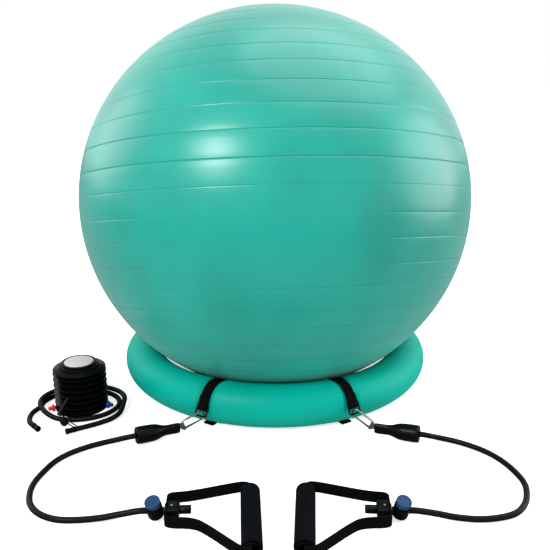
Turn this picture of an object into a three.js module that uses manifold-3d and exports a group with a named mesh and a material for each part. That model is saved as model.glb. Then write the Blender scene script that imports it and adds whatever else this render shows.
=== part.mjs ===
// Balance ball chair: an exercise ball in an inflated floor ring, with two resistance tubes clipped
// to the ring and the foot pump of the set. Millimetres, +Z up. The origin is on the floor under the
// ball, +X is to the sitter's right seen from the front, and -Y is the side with the handles.
import * as THREE from 'three';
import { mergeVertices } from 'three/addons/utils/BufferGeometryUtils.js';
import Module from 'manifold-3d';

const wasm = await Module();
wasm.setup();

// Clearances
const fitGap = 0.3; // between neighbours that touch on the real object
const cutOverrun = 2; // how far a cut runs past the face that it opens
const softEdge = 0.8; // of the small moulded pieces
const weldTolerance = 0.001;

// Ball
const ballRadius = 325;
const ballUprightRadius = 317; // the sitter's load and its own weight flatten it a little
const ballSag = 14; // how far the floor presses its underside in
const ballCentreHeight = ballUprightRadius - ballSag;
const ballWall = 1;
const roundSides = 36; // facets round the ball and the ring
const ballStepsBelowSeat = 2;
const ballStepsAboveSeat = 14;
const ribAxisTilt = 14; // degrees from upright, towards +Y
const ribAxisHeading = 96;

// Floor ring
const ringTubeRadius = 33;
const ringWall = 1;
const ringFlat = 0.5; // how much its own weight flattens it on the floor
const ringSpread = 5.5; // the ring is this much wider than deep, so it stands off the ball at its sides
const ringTubeSides = 12;

// Valves of the ball and the ring
const valveBore = 7;
const valveNeck = 11;
const valveFlange = 24;
const valveFlangeThick = 1.2;
const valveNeckLength = 9;
const valveLipThick = 1.5;
const valveLip = 14;
const plugHead = 15;
const plugHeadThick = 1.6;
const plugStemLength = 11;
const plugStemTip = 5;
const valvePatch = 34;
const valvePatchDepth = 4.6;
const ringValveHeading = 90;
const ringValveRise = 28;

// Webbing bands on the ring
const strapWidth = 16.5;
const strapThick = 1.6;
const strapAngles = { left: 23, right: 25.1 }; // each side of the front
const strapTwistAngle = 8; // degrees that the bands slant away from the front
const strapTailLength = 22; // how far the underside end lies out on the floor, from below the tube's middle
const strapHemLength = 10; // how much of that end is folded double
const grooveEndAngle = 310; // round the tube from its outside
const loopBore = 5; // of the fold that holds the D-ring
const grooveMargin = 9; // degrees that the band's groove runs past the D-ring

// D-rings
const dRingWire = 2.6;
const dRingReach = 12; // between the centres of its two bars
const dRingCorner = 4;
const dRingTilt = 32; // outwards from hanging straight
const hookSlack = { left: -2, right: -7 }; // degrees the hook stays behind the D-ring

// Snap hooks
const bowInner = 5;
const hookWire = 2.4;
const hookThick = 3.4;
const hookEndHeight = 11.8; // where the hook's body meets the anchor
const hookPivotAlong = 28.6;
const hookPivotRadius = 2.4;
const hookThroat = 26; // where the solid body starts
const hookBodyHalf = 5.2;
const tangAlong = 33;
const tangHalf = 3.2;
const hookLength = 42;
const hookEye = 3.8;
const hookEyeAlong = 38;
const bowTip = 1;
const gateThick = 1.3;
const pinRadius = 0.8;
const pinHead = 1.5;
const pinHeadThick = 0.5;

// Tube anchors
const anchorLength = 66;
const anchorEndHeight = 14;
const anchorMouthOverlap = 8; // how far the hook's tang reaches into the webbing
const anchorLipHalf = 7.4;
const anchorMouthHalf = 8.2;
const anchorNeckHalf = 8;
const anchorShoulderHalf = 11.4;
const anchorSwellHalf = 12.4;
const anchorBulbHalf = 12.8;
const anchorRimHalf = 12;
const anchorPlugLength = 26;
const anchorPlugFaceHalf = 10.4;

// Resistance tubes
const tubeRadius = 4;
const tubeClear = 0.5; // all round, where a piece is bored for the tube
const tubeSides = 8;
const tubeSteps = 30;

// Tube locks
const lockRadius = 10;
const lockTop = 10;
const lockFoot = 10.5;
const lockFootRadius = 6;
const lockEdge = 4.5;
const lockRoll = 18; // degrees that the lock leans towards the front
const lockLean = 8; // degrees that it leans outwards
const buttonRadius = 9.6;
const buttonTravel = 2.5;
const buttonHeight = 4.8;
const buttonRoof = 1.6;
const buttonEdge = 0.8;
const stemRadius = 6;
const stemFloor = 1.4;
const springWire = 1.1;
const springCurls = 3;
const springCup = 8.2; // radius of the recess that holds the spring
const springSeat = 6.6; // above the tube's axis

// Handles
const handleHeading = 3; // degrees that each handle turns towards the ring
const handleReach = 102; // from the webbing's base to the grip's axis
const gripShift = -21; // of the grip's middle, along its axis
const gripLength = 118;
const foamLength = 112;
const gripCoreRadius = 9.6;
const gripBore = 8.3;
const foamRadius = 12.5;
const webbingHeight = 15;
const webbingThick = 2.2;
const baseHalf = 25;
const webbingPastGrip = 3.4; // how far the webbing runs past the grip's ends before it turns back
const blockLong = 14;
const blockWide = 22;
const blockHigh = 13;
const rivetRadius = 1.8;
const rivetShank = 0.9;
const rivetShankLength = 1.4;
const rivetHead = 0.8;
const rivetAlong = 5;
const eyeletRadius = 8;
const eyeletThick = 0.9;
const capRadius = 5.3;
const capLength = 14;
const capRoof = 2;

// Where things stand on the floor
const gripPlaces = { left: [-29.6, -455.7], right: [37.1, -455.2] };
const hookHeadings = { left: 199, right: -29 };
const anchorHeadings = { left: 207, right: -22 };
const loopAngles = { left: 3, right: 6 };
const pumpPlace = [-311, -166];

// Foot pump
const pumpBaseRadius = 41;
const pumpBaseHeight = 9;
const pumpBaseEdge = 1.5;
const bellowsProud = 0.5; // how far the pleats stand out past the base
const pleatDepth = 5;
const bellowsWall = 1.2;
const bellowsHeight = 57;
const bellowsPleats = 6;
const pumpRimHeight = 1.8;
const pumpShoulderHeight = 4.2;
const pumpStepRadius = 31.5;
const pumpStepTop = 7.8;
const pumpCrownRadius = 27;
const pumpCrownTop = 11.6;
const pumpEdge = 0.8;
const padRadius = 22.5;
const padRecess = 2;
const padThick = 2.1;
const pumpSpringRadius = 24;
const pumpSpringWire = 2.6;
const pumpSpringCurls = 4;
const portHeight = 6.2;
const portNeckRadius = 2.6;
const portNeckReach = 1.3; // past the base
const portRadius = 5.6;
const portBarbRadius = 3.4;
const portCollar = 4;
const portBore = 1.5;
const portLength = 10;
const portTip = 2.6;
const portHeadings = { red: 205, blue: -10 };

// Pump hose
const hoseRadius = 4.1;
const hoseValley = 3.5;
const hoseBore = 2.4;
const hoseRibs = 54;
const hoseSides = 8;
const ribCrestShare = 0.25; // of one rib's length
const ribValleyShare = 0.75;
const coilHalfWide = 62;
const coilHalfDeep = 51;
const coilShift = [-2, -3.5]; // of the coil's middle from the pump's axis
const coilStart = 188; // degrees
const coilEnd = -375;
const coilStep = 15;
const coilRise = [-105, -165]; // where the hose climbs onto its first turn
const coilFall = [-350, -395]; // where it comes down again
const coilFlareFrom = -285; // where the second turn starts to widen
const coilFlare = 10;
const hoseLayerGap = 0.6;
const couplingRadius = 5.3;
const couplingLength = 15;
const couplingCollarLength = 4;

// Nozzle, cap and their tethers
const nozzleLength = 29;
const nozzleRadius = 3.8;
const nozzleTip = 1.3;
const nozzleBore = 0.7;
const nozzleShoulder = 5;
const nozzleFootPlace = [-113, 15, 10.6]; // heading, distance past the pleats and height
const nozzleAimPlace = [-100.2, 0.6, 38];
const capHeading = -112;
const capFromPump = [-10.5, -65.5];
const capDisc = 6.3;
const capDiscThick = 5.5;
const capDiscEdge = 1;
const tetherRadius = 0.9;
const tetherSides = 6;
const tetherSteps = 8;

// Materials
const paint = (colour, roughness, metalness = 0) =>
  new THREE.MeshStandardMaterial({ color: colour, roughness, metalness });
const ballVinyl = paint(0x46b5a0, 0.35);
const ringVinyl = paint(0x12a893, 0.4);
const blackRubber = paint(0x17181a, 0.6);
const webbing = paint(0x0b0b0d, 0.85);
const blackPlastic = paint(0x101114, 0.3);
const plated = paint(0xc9c8c2, 0.25, 1);
const tubeLatex = paint(0x10121c, 0.35);
const blueButton = paint(0x2a6aa0, 0.45);
const springSteel = paint(0x9a9c9e, 0.35, 1);
const foam = paint(0x141519, 0.9);
const padGrey = paint(0xd8d0ce, 0.6);
const redPlastic = paint(0xf03020, 0.4);
const bluePlastic = paint(0x1040a0, 0.4);
const mintPlug = paint(0xe8e8e4, 0.5);

const model = new THREE.Group();
const radians = THREE.MathUtils.degToRad;
const upright = new THREE.Vector3(0, 0, 1);
const flatAt = (degrees) => new THREE.Vector3(Math.cos(radians(degrees)), Math.sin(radians(degrees)), 0);

// Turns a geometry's faces outwards
function outward(geometry) {
  const g = geometry.index ? geometry.toNonIndexed() : geometry.clone();
  g.deleteAttribute('normal');
  g.deleteAttribute('uv');
  const p = g.attributes.position;
  const [a, b, c] = [new THREE.Vector3(), new THREE.Vector3(), new THREE.Vector3()];
  let volume = 0;
  for (let i = 0; i < p.count; i += 3) {
    a.fromBufferAttribute(p, i);
    b.fromBufferAttribute(p, i + 1);
    c.fromBufferAttribute(p, i + 2);
    volume += a.dot(b.cross(c));
  }
  if (volume < 0) {
    for (let i = 0; i < p.count; i += 3) {
      b.fromBufferAttribute(p, i + 1);
      c.fromBufferAttribute(p, i + 2);
      p.setXYZ(i + 1, c.x, c.y, c.z);
      p.setXYZ(i + 2, b.x, b.y, b.z);
    }
  }
  return g;
}

// Joins shared vertices and drops the triangles that this closes up
function welded(geometry) {
  const g = mergeVertices(outward(geometry), weldTolerance);
  const kept = [];
  const index = g.index.array;
  for (let i = 0; i < index.length; i += 3) {
    const [a, b, c] = [index[i], index[i + 1], index[i + 2]];
    if (a !== b && b !== c && c !== a) kept.push(a, b, c);
  }
  g.setIndex(kept);
  return g;
}

// A geometry as a solid that can be cut and joined, moved by a matrix first
function solid(geometry, matrix) {
  const g = welded(geometry);
  if (matrix) g.applyMatrix4(matrix);
  return new wasm.Manifold(new wasm.Mesh({
    numProp: 3,
    vertProperties: new Float32Array(g.attributes.position.array),
    triVerts: new Uint32Array(g.index.array),
  }));
}

function geometryOf(body) {
  const cut = body.getMesh();
  const g = new THREE.BufferGeometry();
  g.setAttribute('position', new THREE.BufferAttribute(new Float32Array(cut.vertProperties), 3));
  g.setIndex(new THREE.BufferAttribute(new Uint32Array(cut.triVerts), 1));
  return g;
}

// Adds one named piece to a group
function piece(name, shape, material, group = model) {
  const geometry = shape.isBufferGeometry ? welded(shape) : geometryOf(shape);
  geometry.computeVertexNormals();
  const mesh = new THREE.Mesh(geometry, material);
  mesh.name = name;
  group.add(mesh);
  return mesh;
}

// A group that stands in a frame given as a matrix
function framed(matrix, parent = model) {
  const group = new THREE.Group();
  group.applyMatrix4(matrix);
  parent.add(group);
  return group;
}

// A frame from its place and two of its axes
function frameOf(place, along, up) {
  const x = along.clone().normalize();
  const z = x.clone().cross(up).cross(x).normalize();
  const y = z.clone().cross(x);
  return new THREE.Matrix4().makeBasis(x, y, z).setPosition(place);
}

// A frame whose Z axis runs along a direction
function frameAlong(place, direction) {
  const turn = new THREE.Quaternion().setFromUnitVectors(upright, direction.clone().normalize());
  return new THREE.Matrix4().makeRotationFromQuaternion(turn).setPosition(place);
}

// A body turned about Z from a profile of [radius, height] points
function turned(profile, sides) {
  const points = profile.map(([r, z]) => new THREE.Vector2(r, z));
  return new THREE.LatheGeometry(points, sides).rotateX(Math.PI / 2);
}

// A turned body with a bore: its profile closes on itself
const turnedRing = (profile, sides) => turned([...profile, profile[0]], sides);

const rod = (radius, low, high, sides) => turned([[0, low], [radius, low], [radius, high], [0, high]], sides);

// A rod that lies along X
const rodAlongX = (radius, from, to, sides) => rod(radius, from, to, sides).rotateY(Math.PI / 2);

const boxBetween = (low, high) => {
  const size = high.map((value, i) => value - low[i]);
  const middle = high.map((value, i) => (value + low[i]) / 2);
  return new THREE.BoxGeometry(...size).translate(...middle);
};

// A flat outline made thick, with the thickness centred on its plane
const plateArcs = 12;
function plate(shape, thick, curveSegments = plateArcs) {
  const settings = { depth: thick, bevelEnabled: false, curveSegments };
  return new THREE.ExtrudeGeometry(shape, settings).translate(0, 0, -thick / 2);
}

// A regular outline of a cord's section
function sectionOf(radius, sides) {
  const shape = new THREE.Shape();
  for (let i = 0; i < sides; i += 1) {
    const angle = (i / sides) * 2 * Math.PI;
    const point = [radius * Math.cos(angle), radius * Math.sin(angle)];
    if (i === 0) shape.moveTo(...point);
    else shape.lineTo(...point);
  }
  shape.closePath();
  return shape;
}

function cordAlong(curve, radius, sides, steps) {
  const settings = { steps, bevelEnabled: false, extrudePath: curve };
  return new THREE.ExtrudeGeometry(sectionOf(radius, sides), settings);
}

class Helix extends THREE.Curve {
  constructor(radius, low, high, curls) {
    super();
    Object.assign(this, { radius, low, high, curls });
  }

  getPoint(t, target = new THREE.Vector3()) {
    const angle = 2 * Math.PI * this.curls * t;
    const height = this.low + (this.high - this.low) * t;
    return target.set(this.radius * Math.cos(angle), this.radius * Math.sin(angle), height);
  }
}

// A spring: 8 steps of 4 sides in each curl
const springStepsPerCurl = 8;
const springSides = 4;
function spring(radius, wire, low, high, curls) {
  const curve = new Helix(radius, low + wire / 2, high - wire / 2, curls);
  return cordAlong(curve, wire / 2, springSides, springStepsPerCurl * curls);
}

// Ball and ring

// The ball's outline at an angle from its equator, drawn in by a wall
const ballPoint = (angle, inset) => [
  (ballRadius - inset) * Math.cos(angle),
  ballCentreHeight + (ballUprightRadius - inset) * Math.sin(angle),
];

const ringHeight = ringTubeRadius - ringFlat;

// The nearest angle of the ball's outline to a point beside it, and its distance
const seatSamples = 2000;
const seatRounds = 30;
function nearestOnBall(x, z) {
  let best = { angle: 0, far: Infinity };
  for (let i = 0; i <= seatSamples; i += 1) {
    const angle = (-Math.PI / 2) * (i / seatSamples);
    const [r, h] = ballPoint(angle, 0);
    const far = Math.hypot(r - x, h - z);
    if (far < best.far) best = { angle, far };
  }
  return best;
}

// The ring's centre line stands where its tube just clears the ball at the front and back
function seatReach() {
  let [low, high] = [0, ballRadius + ringTubeRadius];
  for (let i = 0; i < seatRounds; i += 1) {
    const middle = (low + high) / 2;
    const inBall = Math.hypot(middle / ballRadius, (ringHeight - ballCentreHeight) / ballUprightRadius) < 1;
    if (inBall || nearestOnBall(middle, ringHeight).far < ringTubeRadius + fitGap) low = middle;
    else high = middle;
  }
  return high;
}
const ringDeep = seatReach();
const ringWide = ringDeep + ringSpread;
const seatAngle = nearestOnBall(ringDeep, ringHeight).angle;

function ballBody(inset) {
  const patchAngle = Math.asin((inset - ballCentreHeight) / (ballUprightRadius - inset));
  const profile = [[0, inset]];
  for (let i = 0; i <= ballStepsBelowSeat; i += 1) {
    profile.push(ballPoint(patchAngle + ((seatAngle - patchAngle) * i) / ballStepsBelowSeat, inset));
  }
  for (let i = 1; i <= ballStepsAboveSeat; i += 1) {
    profile.push(ballPoint(seatAngle + ((Math.PI / 2 - seatAngle) * i) / ballStepsAboveSeat, inset));
  }
  profile[profile.length - 1][0] = 0;
  return solid(turned(profile, roundSides));
}

// A frame on the ring's centre line: X points out of the ring, Z up
function ringFrame(degrees) {
  const angle = radians(degrees);
  const place = new THREE.Vector3(ringWide * Math.cos(angle), ringDeep * Math.sin(angle), ringHeight);
  const out = new THREE.Vector3(ringDeep * Math.cos(angle), ringWide * Math.sin(angle), 0);
  return frameOf(place, out, upright);
}

// The ring's tube: a torus laid on the oval centre line and pressed flat on the floor
function ringBody(radius, floor) {
  const torus = new THREE.TorusGeometry(ringDeep, radius, ringTubeSides, roundSides);
  const p = torus.attributes.position;
  const seatTurn = Math.PI - Math.atan2(ballCentreHeight - ringHeight, ringDeep);
  for (let i = 0; i < p.count; i += 1) {
    const angle = Math.atan2(p.getY(i), p.getX(i));
    const off = Math.hypot(p.getX(i), p.getY(i)) - ringDeep;
    const turn = Math.atan2(p.getZ(i), off) + seatTurn;
    const out = new THREE.Vector3(ringDeep * Math.cos(angle), ringWide * Math.sin(angle), 0).normalize();
    const reach = radius * Math.cos(turn);
    p.setXYZ(
      i,
      ringWide * Math.cos(angle) + reach * out.x,
      ringDeep * Math.sin(angle) + reach * out.y,
      Math.max(floor, ringHeight + radius * Math.sin(turn)),
    );
  }
  return solid(torus);
}

// Part of a flat ring, between two angles in degrees
function band(inner, outer, from, to) {
  const shape = new THREE.Shape();
  shape.absarc(0, 0, outer, radians(from), radians(to), false);
  shape.absarc(0, 0, inner, radians(to), radians(from), true);
  shape.closePath();
  return shape;
}

// Stands an outline on its edge, so its x runs out of the ring and its y runs up
const standing = (geometry) => geometry.rotateX(Math.PI / 2);
const bandArcs = 12;
const backingArcs = 7;

// Valve pieces, in a frame whose Z axis leaves the inflated body at its skin
const valveSides = 10;
function valveSocket(name, group) {
  const under = -(valvePatchDepth + fitGap);
  piece(name, turnedRing([
    [valveBore / 2, -valveNeckLength],
    [valveNeck / 2 - fitGap, -valveNeckLength],
    [valveLip / 2, under - valveLipThick],
    [valveLip / 2, under],
    [valveNeck / 2 - fitGap, under],
    [valveNeck / 2 - fitGap, fitGap],
    [valveFlange / 2, fitGap],
    [valveFlange / 2 - valveFlangeThick, fitGap + valveFlangeThick],
    [valveBore / 2, fitGap + valveFlangeThick],
  ], valveSides), blackRubber, group);
}

function valvePlug(name, group) {
  const seat = fitGap + valveFlangeThick + fitGap;
  piece(name, turned([
    [0, seat - plugStemLength],
    [plugStemTip / 2, seat - plugStemLength],
    [valveBore / 2 - fitGap, seat - plugStemLength / 2],
    [valveBore / 2 - fitGap, seat],
    [plugHead / 2, seat],
    [plugHead / 2, seat + plugHeadThick / 2],
    [plugHead / 2 - plugHeadThick / 2, seat + plugHeadThick],
    [0, seat + plugHeadThick],
  ], valveSides), mintPlug, group);
}

// Backs the skin with a patch round the valve and bores it
function withValve(body, frame) {
  const patch = solid(rod(valvePatch / 2, -valvePatchDepth, 0, valveSides), frame);
  const hole = solid(rod(valveNeck / 2, -valvePatchDepth - cutOverrun, cutOverrun, valveSides), frame);
  return body.add(patch).subtract(hole);
}

const ribAxis = flatAt(ribAxisHeading)
  .multiplyScalar(Math.sin(radians(ribAxisTilt)))
  .addScaledVector(upright, Math.cos(radians(ribAxisTilt)));
const ballTop = new THREE.Vector3(
  ballRadius * ribAxis.x,
  ballRadius * ribAxis.y,
  ballCentreHeight + ballUprightRadius * ribAxis.z,
);
const ballValve = frameAlong(ballTop, ribAxis);
piece('ball_shell', withValve(ballBody(0).subtract(ballBody(ballWall)), ballValve), ballVinyl);
const ballValveGroup = framed(ballValve);
valveSocket('ball_valve_socket', ballValveGroup);
valvePlug('ball_plug', ballValveGroup);

const strapOuter = ringHeight;
const strapInner = strapOuter - strapThick;
const frontAngle = -90;
const sides = {
  left: { sign: -1, strapAt: frontAngle - strapAngles.left },
  right: { sign: 1, strapAt: frontAngle + strapAngles.right },
};

const valveOut = new THREE.Vector3(Math.cos(radians(ringValveRise)), 0, Math.sin(radians(ringValveRise)));
const ringValve = ringFrame(ringValveHeading)
  .multiply(frameAlong(valveOut.clone().multiplyScalar(ringTubeRadius), valveOut));

// The frame of one side's band: the ring's own, turned so that the band slants
function strapFrame(side) {
  const { sign, strapAt } = sides[side];
  return ringFrame(strapAt).multiply(new THREE.Matrix4().makeRotationZ(sign * radians(strapTwistAngle)));
}

let ringSkin = ringBody(ringTubeRadius, 0);
let ringHollow = ringBody(ringTubeRadius - ringWall, ringWall);
for (const side of ['left', 'right']) {
  const frame = strapFrame(side);
  const from = loopAngles[side] - grooveMargin;
  const far = ringTubeRadius + cutOverrun;
  const floor = strapInner - fitGap;
  const groove = plate(band(floor, far, from, grooveEndAngle), strapWidth + 2 * fitGap, bandArcs);
  const under = band(floor - ringWall, far, from, grooveEndAngle);
  const backing = plate(under, strapWidth + 2 * (fitGap + ringWall), backingArcs);
  ringSkin = ringSkin.subtract(solid(standing(groove), frame));
  ringHollow = ringHollow.subtract(solid(standing(backing), frame));
}
piece('ring_shell', withValve(ringSkin.subtract(ringHollow), ringValve), ringVinyl);
const ringValveGroup = framed(ringValve);
valveSocket('ring_valve_socket', ringValveGroup);
valvePlug('ring_plug', ringValveGroup);

// Band, D-ring and snap hook of one side

// A rectangle with round corners, in a path that can be an outline or a hole
function roundedRectangle(path, left, right, low, high, corner) {
  path.moveTo(left + corner, low);
  path.lineTo(right - corner, low);
  path.absarc(right - corner, low + corner, corner, -Math.PI / 2, 0, false);
  path.lineTo(right, high - corner);
  path.absarc(right - corner, high - corner, corner, 0, Math.PI / 2, false);
  path.lineTo(left + corner, high);
  path.absarc(left + corner, high - corner, corner, Math.PI / 2, Math.PI, false);
  path.lineTo(left, low + corner);
  path.absarc(left + corner, low + corner, corner, Math.PI, 1.5 * Math.PI, false);
  return path;
}

const loopSides = 10;
const cornerArcs = 2;
const loopReach = strapOuter + loopBore / 2;
const undersideAngle = 270; // degrees round the tube
const tailOverlap = 1;

function ringStrap(side, group) {
  const along = radians(loopAngles[side]);
  const [x, y] = [loopReach * Math.cos(along), loopReach * Math.sin(along)];
  const half = strapWidth / 2;
  const [low, high, hemFrom] = [-strapOuter, -strapInner, strapTailLength - strapHemLength];
  const tail = boxBetween([-tailOverlap, low, -half], [strapTailLength, high, half]);
  const hem = boxBetween([hemFrom, low, -half], [strapTailLength, high + strapThick, half]);
  const around = plate(band(strapInner, strapOuter, loopAngles[side], undersideAngle), strapWidth, bandArcs);
  const fold = rod(loopBore / 2 + strapThick, -strapWidth / 2, strapWidth / 2, loopSides).translate(x, y, 0);
  const past = strapWidth / 2 + cutOverrun;
  const bore = rod(loopBore / 2, -past, past, loopSides).translate(x, y, 0);
  const body = solid(around)
    .add(solid(tail))
    .add(solid(hem))
    .add(solid(fold))
    .subtract(solid(bore));
  piece(`ring_strap_${side}`, standing(geometryOf(body)), webbing, group);
}

// The D-ring's frame: its X lies along the band's width, its Y from the lower bar to the upper one
function dRingFrame(side, slack = 0) {
  const along = radians(loopAngles[side]);
  const place = new THREE.Vector3(loopReach * Math.cos(along), 0, loopReach * Math.sin(along));
  const tilt = radians(dRingTilt - slack);
  const up = new THREE.Vector3(-Math.sin(tilt), 0, Math.cos(tilt));
  const across = new THREE.Vector3(0, 1, 0);
  const basis = new THREE.Matrix4().makeBasis(across, up, across.clone().cross(up));
  return basis.setPosition(place);
}

function dRing(side, group) {
  const inner = strapWidth / 2 + fitGap;
  const outer = inner + dRingWire;
  const half = dRingWire / 2;
  const shape = roundedRectangle(new THREE.Shape(), -outer, outer, -dRingReach - half, half, dRingCorner);
  const corner = dRingCorner - dRingWire;
  const hole = roundedRectangle(new THREE.Path(), -inner, inner, half - dRingReach, -half, corner);
  shape.holes.push(hole);
  piece(`d_ring_${side}`, plate(shape, dRingWire, cornerArcs), blackPlastic, group);
}

// The hook's outline: bow, spine and body; x runs from the D-ring to the tang
const bowOuter = bowInner + hookWire;
const hookPivotAcross = -(bowInner + hookWire / 2);
function hookOutline() {
  const shape = new THREE.Shape();
  shape.moveTo(bowTip, -bowOuter);
  shape.lineTo(bowTip, -bowInner);
  shape.absarc(0, 0, bowInner, -Math.PI / 2, Math.PI / 2, true);
  shape.lineTo(hookThroat, bowInner);
  shape.lineTo(hookThroat, hookPivotAcross + hookPivotRadius);
  shape.lineTo(hookPivotAlong - hookPivotRadius, hookPivotAcross);
  shape.lineTo(hookPivotAlong, hookPivotAcross - hookPivotRadius);
  shape.lineTo(hookPivotAlong + hookPivotRadius, hookPivotAcross - hookPivotRadius / 2);
  shape.lineTo(tangAlong, -hookBodyHalf);
  shape.lineTo(tangAlong, -tangHalf);
  shape.lineTo(hookLength - tangHalf / 2, -tangHalf);
  shape.lineTo(hookLength, -tangHalf / 2);
  shape.lineTo(hookLength, tangHalf / 2);
  shape.lineTo(hookLength - tangHalf / 2, tangHalf);
  shape.lineTo(tangAlong, tangHalf);
  shape.lineTo(tangAlong, hookBodyHalf);
  shape.lineTo(hookThroat, bowOuter);
  shape.lineTo(0, bowOuter);
  shape.absarc(0, 0, bowOuter, Math.PI / 2, 1.5 * Math.PI, false);
  shape.closePath();
  return shape;
}

const hookArcs = 6;
const pinSides = 8;
const gateSlot = gateThick + 2 * fitGap;

function hookBody(side, group) {
  const eye = rod(hookEye / 2, -hookThick, hookThick, pinSides).translate(hookEyeAlong, 0, 0);
  const bore = rod(pinRadius + fitGap, -hookThick, hookThick, pinSides);
  bore.translate(hookPivotAlong, hookPivotAcross, 0);
  const slot = boxBetween(
    [hookThroat - cutOverrun, -bowOuter - cutOverrun, -gateSlot / 2],
    [hookPivotAlong + hookPivotRadius + fitGap, hookPivotAcross + 2 * hookPivotRadius, gateSlot / 2],
  );
  const body = solid(plate(hookOutline(), hookThick, hookArcs))
    .subtract(solid(eye))
    .subtract(solid(bore))
    .subtract(solid(slot));
  piece(`hook_body_${side}`, body, plated, group);
}

function hookGate(side, group) {
  const half = hookWire / 2 - fitGap / 2;
  const bar = boxBetween(
    [bowTip + fitGap, hookPivotAcross - half, -gateThick / 2],
    [hookPivotAlong, hookPivotAcross + half, gateThick / 2],
  );
  const knuckle = rod(hookPivotRadius - fitGap, -gateThick / 2, gateThick / 2, pinSides);
  knuckle.translate(hookPivotAlong, hookPivotAcross, 0);
  const bore = rod(pinRadius + fitGap, -hookThick, hookThick, pinSides);
  bore.translate(hookPivotAlong, hookPivotAcross, 0);
  const gate = solid(bar).add(solid(knuckle)).subtract(solid(bore));
  piece(`hook_gate_${side}`, gate, plated, group);
}

function hookPin(side, group) {
  const end = hookThick / 2 + fitGap;
  const head = end + pinHeadThick;
  const pin = turned([
    [0, -head], [pinHead, -head], [pinHead, -end], [pinRadius, -end],
    [pinRadius, end], [pinHead, end], [pinHead, head], [0, head],
  ], pinSides);
  piece(`hook_pin_${side}`, pin.translate(hookPivotAlong, hookPivotAcross, 0), springSteel, group);
}

// What the hook takes out of the webbing: its shoulder and its tang grown by the gap, without the eye
function tangRoom(frame) {
  const shape = new THREE.Shape();
  const shoulder = hookBodyHalf + fitGap;
  const half = tangHalf + fitGap;
  const far = hookLength + fitGap;
  shape.moveTo(hookPivotAlong, -shoulder);
  shape.lineTo(tangAlong + fitGap, -shoulder);
  shape.lineTo(tangAlong + fitGap, -half);
  shape.lineTo(far - half / 2, -half);
  shape.lineTo(far, -half / 2);
  shape.lineTo(far, half / 2);
  shape.lineTo(far - half / 2, half);
  shape.lineTo(tangAlong + fitGap, half);
  shape.lineTo(tangAlong + fitGap, shoulder);
  shape.lineTo(hookPivotAlong, shoulder);
  shape.closePath();
  const thread = rod(hookEye / 2 - fitGap, -hookThick, hookThick, pinSides).translate(hookEyeAlong, 0, 0);
  return solid(plate(shape, hookThick + 2 * fitGap), frame).subtract(solid(thread, frame));
}

// The anchor's outline as [share of its length, radius, share of that radius kept across]
const anchorStationShares = [
  [0, anchorLipHalf, 0.5],
  [0.05, anchorMouthHalf, 0.5],
  [0.17, anchorMouthHalf, 0.5],
  [0.34, anchorNeckHalf, 0.66],
  [0.53, anchorShoulderHalf, 0.88],
  [0.68, anchorSwellHalf, 0.95],
  [0.96, anchorBulbHalf, 0.95],
  [1, anchorRimHalf, 0.95],
];
const anchorSides = 12;

function anchorBody(inset) {
  const profile = anchorStationShares.map(([share, radius]) => [radius - inset, share * anchorLength]);
  const body = turned([[0, 0], ...profile, [0, anchorLength]], anchorSides);
  const p = body.attributes.position;
  for (let i = 0; i < p.count; i += 1) {
    const share = p.getZ(i) / anchorLength;
    const next = anchorStationShares.findIndex(([at]) => at >= share - weldTolerance);
    const [a, b] = [anchorStationShares[Math.max(next - 1, 0)], anchorStationShares[next]];
    const part = b[0] > a[0] ? (share - a[0]) / (b[0] - a[0]) : 1;
    p.setY(i, p.getY(i) * (a[2] + (b[2] - a[2]) * Math.min(1, part)));
  }
  return body;
}

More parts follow.
